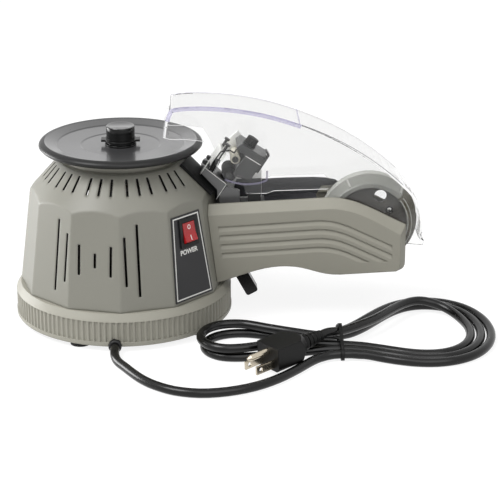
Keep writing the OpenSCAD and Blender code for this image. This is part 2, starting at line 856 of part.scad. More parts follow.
module cutter_blade() {
    color("silver") placed() in_head() side(-blade_half, blade_half)
        polygon([[-22.3, -0.5], [-22.3, carrier_low + 6.4], [-22.9, carrier_low + 6.4], [-22.9, 0.5]]);
}

module blade_springs() {
    low = -3.2 - 2.5 * 0.11;
    color("silver") placed() in_head() for (s = [-1, 1])
        tube([for (i = [0 : 8 * spring_turns])
            [rod_u + spring_r * cos(45 * i), rod_y * s + spring_r * sin(45 * i),
             low + spring_wire + 0.5 + (carrier_low - low - 2 * spring_wire - 0.6) * i / (8 * spring_turns)]],
            spring_wire, 6);
}

module thumb_screw() {
    color("black") placed() in_head() translate([-4.6, -3, 28.5]) union() {
        cylinder(h = 1.4, r = 5);
        cylinder(h = 6.5, r = 4.2);
        for (a = [0 : 30 : 330]) rotate([0, 0, a]) translate([4.1, 0, 1.4]) cylinder(h = 5.1, r = 0.6);
    }
}

module bent_bracket() {
    color("black") placed() in_head() side(-9, -2)
        polygon([[9.7, 14], [12.6, 14], [12.6, 31], [8.6, 33], [8, 31.8], [11.4, 30], [11.4, 22], [9.7, 22]]);
}

// Feed drive and lever in the arm

module feed_motor() {
    color("gray") placed() union() {
        bar([108, 65], 14, -13, 12);
        bar([108, 65], 10, 12, arm_in - arm_wall);
    }
}

module lever_pin() {
    color("silver") placed() bar(lever_at, lever_pin_r, -arm_in, arm_in);
}

module thumb_lever() {
    reach = 37.3;
    half = 5;
    round_r = 2;
    color("black") placed() side(-5, 5) translate(lever_at) rotate(lever_dir) difference() {
        union() {
            circle(r = half);
            translate([0, -half]) square([reach - round_r, 2 * half]);
            translate([0, -half + round_r]) square([reach, 2 * (half - round_r)]);
            for (s = [-1, 1]) translate([reach - round_r, s * (half - round_r)]) circle(r = round_r);
        }
        circle(r = lever_pin_r + fit_gap);
    }
}

module lever_collars() {
    color("silver") placed() difference() {
        for (s = [0, 1]) mirror([0, s, 0]) bar(lever_at, 4.8, 5 + run_gap, arm_in - arm_wall);
        bar(lever_at, lever_pin_r, -arm_half, arm_half);
    }
}

// Mains cord

// A tube along a line of points, with triangles for faces
module tube(line, r, n) {
    m = len(line);
    ring = [for (i = [0 : m - 1])
        let (a = line[max(i - 1, 0)], b = line[min(i + 1, m - 1)], t = (b - a) / norm(b - a),
             side_raw = cross(t, [0, 0, 1]), u = side_raw / norm(side_raw), w = cross(u, t))
        for (k = [0 : n - 1]) line[i] + r * (cos(360 * k / n) * u + sin(360 * k / n) * w)];
    polyhedron(
        points = concat(ring, [line[0], line[m - 1]]),
        faces = concat(
            [for (i = [0 : m - 2], k = [0 : n - 1])
                [i * n + k, (i + 1) * n + (k + 1) % n, (i + 1) * n + k]],
            [for (i = [0 : m - 2], k = [0 : n - 1])
                [i * n + k, i * n + (k + 1) % n, (i + 1) * n + (k + 1) % n]],
            [for (k = [0 : n - 1]) [m * n, (k + 1) % n, k]],
            [for (k = [0 : n - 1]) [m * n + 1, (m - 1) * n + k, (m - 1) * n + (k + 1) % n]]));
}

module cord_gland() {
    rib = 3;
    waist = gland_r - 0.8;
    color("black") placed() translate([gland_x, -ring_r - gland_out, gland_z]) rotate([-90, 0, 0])
        rotate_extrude() polygon(concat(
            [[0, 0], [waist, 0]],
            [for (k = [0 : 2]) each [
                [gland_r, 0.6 + rib * k], [gland_r, 2.2 + rib * k],
                [waist, 2.4 + rib * k], [waist, 3.4 + rib * k]
            ]],
            [[gland_r, 10.4], [gland_r, gland_len], [0, gland_len]]));
}

module cord_lead() {
    color("black") placed() tube(smooth(lead_route, 3), cord_r, 10);
}

// Points of a smooth open curve through p, n to a stretch
function smooth(p, n) = concat(
    [for (i = [0 : len(p) - 2], k = [0 : n - 1]) spline(p, i, k / n)],
    [p[len(p) - 1]]);
function spline(p, i, t) =
    let (m = len(p) - 1, a = p[max(i - 1, 0)], b = p[i], c = p[i + 1], d = p[min(i + 2, m)])
    b + 0.5 * t * (c - a + t * (2 * a - 5 * b + 4 * c - d + t * (3 * (b - c) + d - a)));

// Point on the closed outer loop of the hank, t in turns, rounded by a cubic spline
function loop_at(t) =
    let (m = len(hank_loop), f = (t - floor(t)) * m, i = floor(f), s = f - i,
         q = [for (k = [-1 : 2]) hank_loop[(i + k + m) % m]])
    (pow(1 - s, 3) * q[0] + (3 * pow(s, 3) - 6 * s * s + 4) * q[1]
        + (-3 * pow(s, 3) + 3 * s * s + 3 * s + 1) * q[2] + pow(s, 3) * q[3]) / 6;
function ramp(t, a, b) = let (s = min(max((t - a) / (b - a), 0), 1)) s * s * (3 - 2 * s);
function hank_inset(t) = t - 1.35 * (ramp(t, 1.57, 1.76) - ramp(t, 1.84, 1.99));
function hank_lift(t) = ramp(t, 1.54, 1.63) - ramp(t, 1.93, 2) + ramp(t, 2.3, 2.44);
function hank_point(t) =
    let (p = loop_at(t), d = loop_at(t + 0.002) - loop_at(t - 0.002), n = [-d[1], d[0]] / norm(d),
         q = p + strand_step * hank_inset(t) * n, e = (q[0] - tie_x) / 26)
    [q[0], q[1], cord_r + 0.1 + (strand_step - 0.1) * hank_lift(t) + waist_lift * exp(-e * e)];
function len_of(p) =
    let (steps = [for (i = [0 : len(p) - 2]) norm(p[i + 1] - p[i])])
    steps * [for (s = steps) 1];

module cord_hank() {
    color("black") placed() tube(hank_line, cord_r, 6);
}

module cord_tie() {
    width = 2.6;
    color("black") placed() translate([tie_x - width / 2, 0, 0]) rotate([90, 0, 90]) linear_extrude(width)
        difference() {
            tie_loop(cord_r + 1.45);
            tie_loop(cord_r + 0.4);
        }
}

// Outline of the tie round the strands, drawn in Y and Z
module tie_loop(r) {
    hull() for (p = tie_strands) translate(p) circle(r = r, $fn = 32);
}

// Local frame of the plug: X from its cord towards its blades
module in_plug() {
    translate(plug_at) rotate([0, 0, plug_turn]) rotate([0, plug_dip, 0]) children();
}

module plug_relief() {
    rib = 4;
    color("black") placed() in_plug() rotate([0, 90, 0]) rotate_extrude() polygon(concat(
        [[0, 0]],
        [for (k = [0 : 3]) let (crest = 4.2 + 0.5 * k, waist = 3.6 + 0.3 * k) each [
            [crest, rib * k], [crest, 2.4 + rib * k], [waist, 2.5 + rib * k], [waist, 3.9 + rib * k]
        ]],
        [[6.2, 16], [6.2, 20], [0, 20]]));
}

module plug_body() {
    color("black") placed() in_plug() difference() {
        translate([20, 0, 0]) rotate([0, 90, 0]) union() {
            translate([0, 0, 10]) linear_extrude(22) plug_face();
            intersection() {
                linear_extrude(10) plug_face();
                cylinder(h = 10, r1 = 7.5, r2 = 15.5);
            }
        }
        plug_sockets();
    }
}

// Face of the plug, flat on the side away from the earth pin
module plug_face() {
    translate([-9.5, -12]) square([16, 24]);
    translate([6.5, -8.5]) square([3, 17]);
    for (s = [-1, 1]) translate([6.5, 8.5 * s]) circle(r = 3);
}

module plug_sockets() {
    for (s = [-1, 1]) translate([44, 6.35 * s - 0.8, -6.5]) cube([10, 1.6, 6.4]);
    translate([44, 0, 5]) rotate([0, 90, 0]) cylinder(h = 10, r = 2.4);
}

module plug_blades() {
    color("silver") placed() in_plug() for (s = [-1, 1]) difference() {
        translate([44, 6.35 * s - 0.8, -6.5]) cube([25, 1.6, 6.4]);
        translate([65, 6.35 * s - 2, -3.3]) rotate([-90, 0, 0]) cylinder(h = 4, r = 1.6);
    }
}

module plug_earth() {
    color("silver") placed() in_plug() translate([44, 0, 5]) rotate([0, 90, 0]) union() {
        cylinder(h = 25, r = 2.4);
        translate([0, 0, 25]) cylinder(h = 2.4, r1 = 2.4, r2 = 1);
    }
}

base_plate();
base_ring();
main_housing();
rubber_feet();
label_plate();
label_border();
switch_frame();
power_rocker();
motor_plate();
spindle_bearing();
gearbox();
motor_body();
control_board();
spindle();
turntable();
turntable_knob();
knob_clip();
arm_front_shell();
arm_rear_shell();
arm_core();
arm_deck();
shoulder_guide();
reel_axle();
reel_washer();
axle_nut();
tape_reel();
clear_cover();
cover_pivots();
cover_rests();
cutter_base();
cutter_frame();
cutter_cap();
cutter_cheek();
roller_pins();
feed_roller();
press_roller();
guide_rods();
blade_carrier();
cutter_blade();
blade_springs();
thumb_screw();
bent_bracket();
feed_motor();
lever_pin();
thumb_lever();
lever_collars();
cord_gland();
cord_lead();
cord_hank();
cord_tie();
plug_relief();
plug_body();
plug_blades();
plug_earth();
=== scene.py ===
"""Dresses the electric tape dispenser: camera, studio light, mains cord and the finish of every piece, with
painted light and shade on some.
"""

import logging
import math
from abc import ABC, abstractmethod
from dataclasses import dataclass, replace
from enum import Enum
from typing import Any, Sequence

import bmesh
import bpy
from mathutils import Matrix, Vector

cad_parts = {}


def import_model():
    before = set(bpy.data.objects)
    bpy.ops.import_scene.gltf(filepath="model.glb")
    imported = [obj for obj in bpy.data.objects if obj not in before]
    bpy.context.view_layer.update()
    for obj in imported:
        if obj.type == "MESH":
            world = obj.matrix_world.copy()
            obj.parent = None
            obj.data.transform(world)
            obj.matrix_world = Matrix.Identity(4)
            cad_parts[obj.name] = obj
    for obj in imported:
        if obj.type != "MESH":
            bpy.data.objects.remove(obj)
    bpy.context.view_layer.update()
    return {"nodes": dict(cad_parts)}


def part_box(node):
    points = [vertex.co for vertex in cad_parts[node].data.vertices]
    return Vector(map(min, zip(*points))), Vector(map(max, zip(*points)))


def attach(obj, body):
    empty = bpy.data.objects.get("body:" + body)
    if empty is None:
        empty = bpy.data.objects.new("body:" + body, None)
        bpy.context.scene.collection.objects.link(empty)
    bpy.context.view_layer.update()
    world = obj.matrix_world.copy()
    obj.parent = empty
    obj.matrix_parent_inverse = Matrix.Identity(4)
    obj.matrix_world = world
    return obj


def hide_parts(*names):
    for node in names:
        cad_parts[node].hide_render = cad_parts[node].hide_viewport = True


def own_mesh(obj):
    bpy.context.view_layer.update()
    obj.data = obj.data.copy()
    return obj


log = logging.getLogger("tape_dispenser")

# One millimetre in metres, and the frame's origin along the arm from the carousel axis, in millimetres
MM = 0.001
MID_X = 75.576

Spot = tuple[float, float]
Point = tuple[float, float, float]
Color = tuple[float, float, float]
Shape = bmesh.types.BMesh
Face = bpy.types.MeshPolygon
Node = bpy.types.Node
Socket = bpy.types.NodeSocket


def row(x: float, y: float, z: float) -> Vector:
    """Moves a point from the carousel axis, in millimetres, to the frame of the record, in metres."""
    return Vector(((x - MID_X) * MM, y * MM, z * MM))


def linear(*channels: int) -> Color:
    """Turns red, green and blue from 0 to 255, as seen on a screen, into linear light."""
    shares = [v / 255 for v in channels]
    return tuple(c / 12.92 if c <= 0.04045 else ((c + 0.055) / 1.055) ** 2.4 for c in shares)


class Body(str, Enum):
    """The rigid bodies that pieces made here ride on."""

    BASE = "base"
    CAROUSEL = "carousel"
    ROCKER = "rocker"
    REEL = "reel"
    COVER = "cover"


# Shader helpers


class Wiring:
    """Places and joins the nodes of one material or node group."""

    def __init__(self, tree: bpy.types.NodeTree) -> None:
        """Keeps the tree that the nodes go into."""
        self.tree = tree

    def put(self, node: Node, name: str | int, value: Any) -> None:
        """Links a socket to an input of a node, or sets the input's value.

        Args:
            node: The node that takes the value.
            name: The input's name or number.
            value: An output socket, a number, a vector or a colour.
        """
        target = node.inputs[name]
        if isinstance(value, Socket):
            self.tree.links.new(value, target)
        else:
            target.default_value = (*value, 1.0) if target.type == "RGBA" else value

    def fill(self, node: Node, **values: Any) -> Node:
        """Fills inputs of a node.

        Args:
            node: The node.
            values: Values or output sockets by input name, with _ for a space.

        Returns:
            The same node.
        """
        for name, value in values.items():
            self.put(node, name.replace("_", " "), value)
        return node

    def add(self, kind: str, **values: Any) -> Node:
        """Adds a node of Blender's kind and fills its inputs."""
        return self.fill(self.tree.nodes.new(kind), **values)

    def group(self, tree: bpy.types.NodeTree, **values: Any) -> Node:
        """Adds a node group and fills its inputs.

        Args:
            tree: The group.
            values: Values or output sockets by input name, with _ for a space.

        Returns:
            The new node.
        """
        node = self.tree.nodes.new("ShaderNodeGroup")
        node.node_tree = tree
        return self.fill(node, **values)

    def math(self, operation: str, a: Any, b: Any) -> Socket:
        """Works out a value from two others.

        Args:
            operation: Blender's name of the operation.
            a: First value or socket.
            b: Second value or socket.

        Returns:
            The result.
        """
        node = self.add("ShaderNodeMath")
        node.operation = operation
        self.put(node, 0, a)
        self.put(node, 1, b)
        return node.outputs[0]

    def between(self, share: Socket, low: float, high: float) -> Socket:
        """Gives the value at a share of the way between two values."""
        return self.math("ADD", self.math("MULTIPLY", share, high - low), low)

    def vary(self, base: Any, noise: Socket, spread: Socket) -> Socket:
        """Moves a value up and down with a noise, over a spread."""
        return self.math("ADD", self.math("MULTIPLY", self.math("SUBTRACT", noise, 0.5), spread), base)

    def noise(self, place: Any, scale: Any, detail: float, roughness: float = 0.5) -> Socket:
        """Gives a noise from 0 to 1, with its scale per metre."""
        return self.add("ShaderNodeTexNoise", Vector=place, Scale=scale, Detail=detail,
                        Roughness=roughness).outputs[0]

    def relief(self, height: Socket, strength: float, depth: float, soft_edge: float) -> Socket:
        """Gives the normal of a surface with a fine relief and edges that look rounded.

        Args:
            height: Height of the relief.
            strength: Its strength.
            depth: Its depth in metres.
            soft_edge: Radius over which edges look rounded, in metres.

        Returns:
            The normal.
        """
        bevel = self.add("ShaderNodeBevel", Radius=soft_edge)
        bevel.samples = 6
        return self.add("ShaderNodeBump", Strength=strength, Distance=depth, Height=height,
                        Normal=bevel.outputs[0]).outputs[0]


class Kind(str, Enum):
    """Kinds of socket that the node groups have."""

    COLOR = "NodeSocketColor"
    FLOAT = "NodeSocketFloat"
    VECTOR = "NodeSocketVector"


class EffectGroups:
    """Shader node groups that several finishes share, each built once."""

    MOTTLE_SCALE = 34.0
    SMEAR_SCALE = 22.0
    LINE_SCALE = 900.0
    FINE_RATIO = 2.3

    def __init__(self) -> None:
        """Builds every group."""
        self.grain = self._grain()
        self.handling = self._handling()
        self.brushing = self._brushing()

    @staticmethod
    def _new(name: str, inputs: dict[str, Kind],
             outputs: dict[str, Kind]) -> tuple[Wiring, Any, Node, Socket]:
        """Starts a group with its sockets.

        Args:
            name: The group's name.
            inputs: Kind of each input.
            outputs: Kind of each output.

        Returns:
            The group's wiring, its inputs by name, its output node and the object's own coordinates.
        """
        tree = bpy.data.node_groups.new(name, "ShaderNodeTree")
        for way, sockets in (("INPUT", inputs), ("OUTPUT", outputs)):
            for label, kind in sockets.items():
                tree.interface.new_socket(name=label, in_out=way, socket_type=kind.value)
        w = Wiring(tree)
        source, sink = w.add("NodeGroupInput").outputs, w.add("NodeGroupOutput")
        return w, source, sink, w.add("ShaderNodeTexCoord").outputs["Object"]

    def _grain(self) -> bpy.types.NodeTree:
        """Builds the fine grain of moulded plastic, with a faint mottle of its colour.

        Returns:
            The node group.
        """
        w, source, sink, place = self._new(
            "Moulded Grain", {"Color": Kind.COLOR, "Mottle": Kind.FLOAT, "Grain Scale": Kind.FLOAT},
            {"Color": Kind.COLOR, "Height": Kind.FLOAT})
        scale = source["Grain Scale"]
        value = w.vary(1.0, w.noise(place, self.MOTTLE_SCALE, detail=3.0, roughness=0.6), source["Mottle"])
        shade = w.add("ShaderNodeHueSaturation", Color=source["Color"], Value=value)
        cells = w.add("ShaderNodeTexVoronoi", Vector=place, Scale=scale)
        fine = w.noise(place, w.math("MULTIPLY", scale, self.FINE_RATIO), detail=2.0)
        w.fill(sink, Color=shade.outputs[0], Height=w.math("ADD", cells.outputs["Distance"], fine))
        return w.tree

    def _handling(self) -> bpy.types.NodeTree:
        """Builds the slight change of gloss where hands and cloths have been.

        Returns:
            The node group.
        """
        w, source, sink, place = self._new(
            "Handling Marks", {"Roughness": Kind.FLOAT, "Spread": Kind.FLOAT}, {"Roughness": Kind.FLOAT})
        smear = w.noise(place, self.SMEAR_SCALE, detail=4.0, roughness=0.65)
        w.fill(sink, Roughness=w.vary(source["Roughness"], smear, source["Spread"]))
        return w.tree

    def _brushing(self) -> bpy.types.NodeTree:
        """Builds fine parallel lines on metal.

        Returns:
            The node group.
        """
        w, source, sink, place = self._new(
            "Brushed Lines", {"Roughness": Kind.FLOAT, "Spread": Kind.FLOAT, "Stretch": Kind.VECTOR},
            {"Roughness": Kind.FLOAT, "Height": Kind.FLOAT})
        drawn = w.add("ShaderNodeVectorMath")
        drawn.operation = "MULTIPLY"
        w.put(drawn, 0, place)
        w.put(drawn, 1, source["Stretch"])
        lines = w.noise(drawn.outputs[0], self.LINE_SCALE, detail=3.0, roughness=0.6)
        w.fill(sink, Roughness=w.vary(source["Roughness"], lines, source["Spread"]), Height=lines)
        return w.tree


def new_material(name: str) -> tuple[bpy.types.Material, Wiring, Node]:
    """Makes an empty material with its main shader.

    Args:
        name: Name of the material.

    Returns:
        The material, its wiring and its shader node.
    """
    mat = bpy.data.materials.new(name)
    mat.use_nodes = True
    shader = next(n for n in mat.node_tree.nodes if n.type == "BSDF_PRINCIPLED")
    return mat, Wiring(mat.node_tree), shader


# Finishes


@dataclass(frozen=True)
class Finish(ABC):
    """A finish that the pieces of one look share.

    Attributes:
        name: Name of the material.
        color: Colour in linear light.
        roughness: Mean roughness.
    """

    name: str
    color: Color
    roughness: float = 0.5

    @abstractmethod
    def dress(self, w: Wiring, shader: Node, effects: EffectGroups) -> None:
        """Fills in the material's shader.

        Args:
            w: Wiring of the material.
            shader: Its main shader.
            effects: The shared node groups.
        """

    def material(self, effects: EffectGroups) -> bpy.types.Material:
        """Makes the material.

        Args:
            effects: The shared node groups.

        Returns:
            The new material.
        """
        mat, w, shader = new_material(self.name)
        self.dress(w, shader, effects)
        return mat


@dataclass(frozen=True)
class Plastic(Finish):
    """A moulded plastic or rubber.

    Attributes:
        grain: Strength of the grain's relief.
        grain_scale: Grains per metre.
        mottle: Change of the colour's value.
        smear: Change of the roughness.
        soft_edge: Radius over which edges look rounded, in metres.
        coat: Weight of a clear coat, for polished pieces.
        coat_roughness: Roughness of that coat.
        shine: Level of the surface reflection, 0.5 for common plastics.
        grain_depth: Depth of the grain in metres.
    """

    grain: float = 0.1
    grain_scale: float = 1500.0
    mottle: float = 0.05
    smear: float = 0.1
    soft_edge: float = 0.0006
    coat: float = 0.0
    coat_roughness: float = 0.12
    shine: float = 0.5
    grain_depth: float = 0.0002

    def dress(self, w: Wiring, shader: Node, effects: EffectGroups) -> None:
        """Gives the shader its grain, gloss and coat.

        Args:
            w: Wiring of the material.
            shader: Its main shader.
            effects: The shared node groups.
        """
        grain = w.group(effects.grain, Color=self.color, Mottle=self.mottle, Grain_Scale=self.grain_scale)
        gloss = w.group(effects.handling, Roughness=self.roughness, Spread=self.smear)
        normal = w.relief(grain.outputs["Height"], self.grain, self.grain_depth, self.soft_edge)
        w.fill(shader, Base_Color=grain.outputs["Color"], Roughness=gloss.outputs["Roughness"], Normal=normal,
               Coat_Weight=self.coat, Coat_Roughness=self.coat_roughness, Specular_IOR_Level=self.shine)


@dataclass(frozen=True)
class Metal(Finish):
    """A bare or plated metal.

    Attributes:
        roughness: Mean roughness.
        spread: Change of the roughness along the brushed lines.
        stretch: Stretch of the lines along each axis.
        soft_edge: Radius over which edges look rounded, in metres.
        mottle: Change of the colour's value.
        lines: Strength of the lines' relief.
        line_depth: Depth of the lines in metres.
    """

    roughness: float = 0.3
    spread: float = 0.2
    stretch: Point = (0.08, 1.0, 1.0)
    soft_edge: float = 0.0003
    mottle: float = 0.12
    lines: float = 0.08
    line_depth: float = 0.0001

    def dress(self, w: Wiring, shader: Node, effects: EffectGroups) -> None:
        """Gives the shader its metal and brushed lines.

        Args:
            w: Wiring of the material.
            shader: Its main shader.
            effects: The shared node groups.
        """
        grain = w.group(effects.grain, Color=self.color, Mottle=self.mottle)
        lines = w.group(effects.brushing, Roughness=self.roughness, Spread=self.spread, Stretch=self.stretch)
        normal = w.relief(lines.outputs["Height"], self.lines, self.line_depth, self.soft_edge)
        w.fill(shader, Metallic=1.0, Base_Color=grain.outputs["Color"], Roughness=lines.outputs["Roughness"],
               Normal=normal)


@dataclass(frozen=True)
class Acrylic(Finish):
    """Clear sheet that lets shadow rays through. Its colour is that of the light that passes.

    Attributes:
        roughness: Mean roughness of the faces.
        haze: Change of the roughness by wiping.
        ior: How strongly the sheet bends light.
    """

    roughness: float = 0.02
    haze: float = 0.03
    ior: float = 1.36

    def dress(self, w: Wiring, shader: Node, effects: EffectGroups) -> None:
        """Makes the shader clear, and lets shadow rays through with the tint alone.

        Args:
            w: Wiring of the material.
            shader: Its main shader.
            effects: The shared node groups.
        """
        gloss = w.group(effects.handling, Roughness=self.roughness, Spread=self.haze)
        w.fill(shader, Base_Color=self.color, Transmission_Weight=1.0, IOR=self.ior,
               Roughness=gloss.outputs["Roughness"])
        clear = w.add("ShaderNodeBsdfTransparent", Color=self.color)
        shadow = w.add("ShaderNodeLightPath").outputs["Is Shadow Ray"]
        both = w.add("ShaderNodeMixShader")
        for k, socket in enumerate((shadow, shader.outputs[0], clear.outputs[0])):
            w.put(both, k, socket)
        out = next(n for n in w.tree.nodes if n.type == "OUTPUT_MATERIAL")
        w.put(out, "Surface", both.outputs[0])


@dataclass(frozen=True)
class EdgeTint(Finish):
    """The tint of clear sheet along its edges and bends, lightened as a painted reflection.

    Attributes:
        roughness: Mean roughness of the edge.
        cover: Share of what lies behind that the tint hides.
        mottle: Change of the colour's value.
        smear: Change of the roughness.
    """

    roughness: float = 0.25
    cover: float = 0.42
    mottle: float = 0.1
    smear: float = 0.08

    def dress(self, w: Wiring, shader: Node, effects: EffectGroups) -> None:
        """Tints the shader and thins it.

        Args:
            w: Wiring of the material.
            shader: Its main shader.
            effects: The shared node groups.
        """
        grain = w.group(effects.grain, Color=self.color, Mottle=self.mottle)
        gloss = w.group(effects.handling, Roughness=self.roughness, Spread=self.smear)
        w.fill(shader, Alpha=self.cover, Base_Color=grain.outputs["Color"],
               Roughness=gloss.outputs["Roughness"])


class Look(Enum):
    """Every finish of the dispenser, with the looks that paint light and shade."""

    HOUSING = Plastic("warm grey moulding", linear(128, 127, 118), 0.42, soft_edge=0.003)
    # Painted light: the neck, lighter than the housing, against the carousel's shadow
    NECK = Plastic("neck with painted light", linear(156, 154, 144), 0.55, soft_edge=0.001)
    RING = Plastic("warm grey foot ring", linear(147, 145, 134), soft_edge=0.0007)
    ARM = Plastic("warm grey arm", linear(140, 138, 127), soft_edge=0.0012)
    # Carousel grey, also a painted reflection on the black knob's top
    DISC = Plastic("grey carousel and knob reflection", linear(60, 60, 61), 0.3, grain=0.06, grain_scale=1800, mottle=0.08,
                   smear=0.12, coat=0.8)
    # Painted shade: the carousel's outer edge, a darker copy of its grey
    RIM = replace(DISC, name="carousel rim in painted shade", color=linear(31, 31, 31), roughness=0.35, coat=0.0,
                  shine=0.24)
    # Dark grey mouldings, and painted shade in the arm's bay
    DARK = Plastic("dark grey moulding and painted shade", linear(44, 44, 47), grain=0.12, mottle=0.1)
    CAST = Plastic("grey painted casting", linear(40, 41, 41), 0.36, grain=0.16, grain_scale=1300,
                   mottle=0.14, smear=0.14, soft_edge=0.001, coat=0.2)
    BLOCK = replace(CAST, name="grey painted block", color=linear(86, 86, 86))
    BLACK = Plastic("satin black", linear(17, 17, 18), 0.45, grain=0.12, mottle=0.1, soft_edge=0.0005,
                    shine=0.35)
    POLISHED = Plastic("polished black", linear(5, 5, 5), 0.24, grain=0.03, grain_scale=1200, smear=0.06,
                       soft_edge=0.0008, shine=0.3)
    # Dull black parts, and painted shade on the housing's inside and slot walls
    DULL = Plastic("dull black and painted shade", linear(8, 8, 8), 0.6, grain=0.15, grain_scale=1300, mottle=0.1,
                   soft_edge=0.0005, shine=0.15)
    RUBBER = Plastic("black rubber", linear(22, 22, 22), 0.7, grain=0.2, grain_scale=1200, mottle=0.12,
                     shine=0.3)
    LABEL = Plastic("label film", linear(33, 33, 35), 0.42, grain=0.05, grain_scale=2200, mottle=0.06,
                    smear=0.08, soft_edge=0.0001)
    BORDER = Plastic("label border", linear(228, 228, 224), 0.45, grain=0.04, grain_scale=2200, mottle=0.04,
                     smear=0.05, soft_edge=0.0001)
    # Painted highlight: bright lines along the cutter head's edges
    PAINTED_HIGHLIGHT = replace(BORDER, name="painted edge highlight")
    # White print on the rocker, and a painted glint on the cutter's lens
    MARK = Plastic("white rocker mark and lens glint", linear(240, 226, 224), 0.4, grain=0.03, mottle=0.03, smear=0.05,
                   soft_edge=0.0001)
    RED = Plastic("red rocker", linear(168, 22, 27), 0.25, grain=0.03, mottle=0.06, smear=0.05, coat=0.2)
    REEL = Plastic("light grey reel", linear(142, 143, 138), 0.42, mottle=0.06, soft_edge=0.0008)
    # Painted shade on the reel: a darker cone, an olive shadow on one sector, the shaded web
    BAND = replace(REEL, name="reel cone in painted shade", color=linear(106, 107, 102), mottle=0.08)
    PAINTED_SHADOW = Plastic("olive painted shadow", linear(60, 57, 46), 0.6, grain=0.2, grain_scale=1300, mottle=0.12,
                   shine=0.35)
    WEB = Plastic("shaded reel web", linear(60, 58, 54), grain=0.12, mottle=0.08, soft_edge=0.0005)
    ROLLER = Plastic("white roller", linear(176, 173, 160), mottle=0.06, soft_edge=0.0005)
    BOARD = Plastic("green board", linear(40, 92, 52), 0.4, mottle=0.1, soft_edge=0.0003)
    VINYL = Plastic("black vinyl cord", linear(6, 6, 6), 0.26, grain=0.06, grain_scale=1400, mottle=0.1,
                    shine=0.34)
    PLUG = Plastic("black vinyl plug", linear(6, 6, 6), 0.42, grain_scale=1400, mottle=0.1, smear=0.12,
                   soft_edge=0.001, shine=0.22)
    SHEET = Metal("satin sheet", (0.95, 0.95, 0.93), 0.5, spread=0.15)
    STEEL = Metal("sheet steel", (0.62, 0.62, 0.6))
    DARK_STEEL = Metal("blackened steel", (0.06, 0.06, 0.06), 0.38, spread=0.15)
    NICKEL = Metal("nickel plate", (0.56, 0.5, 0.4), 0.22, spread=0.1, stretch=(1.0, 0.1, 1.0))
    BRONZE = Metal("sintered bronze", (0.5, 0.34, 0.16), 0.45, spread=0.15)
    MOTOR = Metal("motor can", (0.3, 0.3, 0.31), 0.4, spread=0.15, stretch=(1.0, 1.0, 0.1))
    CLEAR = Acrylic("clear acrylic", (0.9, 0.9, 0.897))
    FILM = Acrylic("clear acrylic end", (0.95, 0.95, 0.95), ior=1.08)
    # The acrylic's tint, with painted reflection along the cover's edges and bends
    EDGE = EdgeTint("lavender sheet edge", linear(198, 194, 222))
    PALE = EdgeTint("pale sheet edge", linear(232, 232, 236), cover=0.75)
    FAINT = EdgeTint("faint sheet edge", linear(140, 136, 158), cover=0.45)
    LINE = EdgeTint("grey sheet edge", linear(120, 120, 124), cover=0.5)


# The look of each CAD node
NODE_LOOKS: dict[Look, tuple[str, ...]] = {
    Look.HOUSING: ("main_housing",),
    Look.RING: ("base_ring",),
    Look.ARM: ("arm_front_shell", "arm_rear_shell"),
    Look.DISC: ("turntable",),
    Look.DARK: ("arm_core", "arm_deck", "cover_pivots"),
    Look.CAST: ("cutter_frame", "cutter_cap"),
    Look.BLOCK: ("cutter_base",),
    Look.SHEET: ("cutter_cheek", "blade_carrier", "cutter_blade"),
    Look.BLACK: ("base_plate", "switch_frame", "cord_gland"),
    Look.DULL: ("shoulder_guide", "feed_roller", "thumb_screw"),
    Look.POLISHED: ("turntable_knob", "knob_clip", "axle_nut", "thumb_lever"),
    Look.RUBBER: ("rubber_feet", "cover_rests"),
    Look.LABEL: ("label_plate",),
    Look.BORDER: ("label_border",),
    Look.RED: ("power_rocker",),
    Look.REEL: ("tape_reel",),
    Look.ROLLER: ("press_roller",),
    Look.BOARD: ("control_board",),
    Look.PLUG: ("cord_tie", "plug_relief", "plug_body"),
    Look.STEEL: ("motor_plate", "spindle", "reel_axle", "reel_washer", "lever_pin", "lever_collars"),
    Look.DARK_STEEL: ("guide_rods", "bent_bracket", "roller_pins"),
    Look.NICKEL: ("plug_blades", "plug_earth"),
    Look.BRONZE: ("spindle_bearing",),
    Look.MOTOR: ("gearbox", "motor_body", "feed_motor"),
    Look.CLEAR: ("clear_cover",),
}


class Paintbox:
    """Makes each look's material once and paints objects with it."""

    def __init__(self) -> None:
        """Builds the shared groups and an empty store of materials."""
        self.effects = EffectGroups()
        self.made: dict[Look, bpy.types.Material] = {}

    def of(self, look: Look) -> bpy.types.Material:
        """Gives the material of a look, made at its first use.

        Args:
            look: The look.

        Returns:
            Its material.
        """
        if look not in self.made:
            self.made[look] = look.value.material(self.effects)
        return self.made[look]

    def paint(self, obj: bpy.types.Object, look: Look) -> None:
        """Gives a mesh object one look all over.

        Args:
            obj: The object.
            look: Its look.
        """
        obj.data.materials.clear()
        obj.data.materials.append(self.of(look))
        for face in obj.data.polygons:
            face.material_index = 0

    def zone(self, obj: bpy.types.Object, look: Look, faces: Sequence[Face]) -> None:
        """Gives another look to some faces of a painted object.

        Args:
            obj: The object.
            look: The other look.
            faces: The faces that take it.
        """
        obj.data.materials.append(self.of(look))
        for face in faces:
            face.material_index = len(obj.data.materials) - 1


# Meshes


TO_ROW = Matrix.Scale(MM, 4) @ Matrix.Translation((-MID_X, 0, 0))
HEAD_AT = (88.0, 0.0, 112.0)
HEAD_SLOPE = 33.0
HEAD_PLACE = Matrix.Translation(HEAD_AT) @ Matrix.Rotation(math.radians(HEAD_SLOPE), 4, "Y")


def side_place(y: float) -> Matrix:
    """Gives the frame of a side view: X along the arm, Y up and Z to the front, from the plane at y."""
    return Matrix(((1, 0, 0, 0), (0, 0, -1, y), (0, 1, 0, 0), (0, 0, 0, 1)))


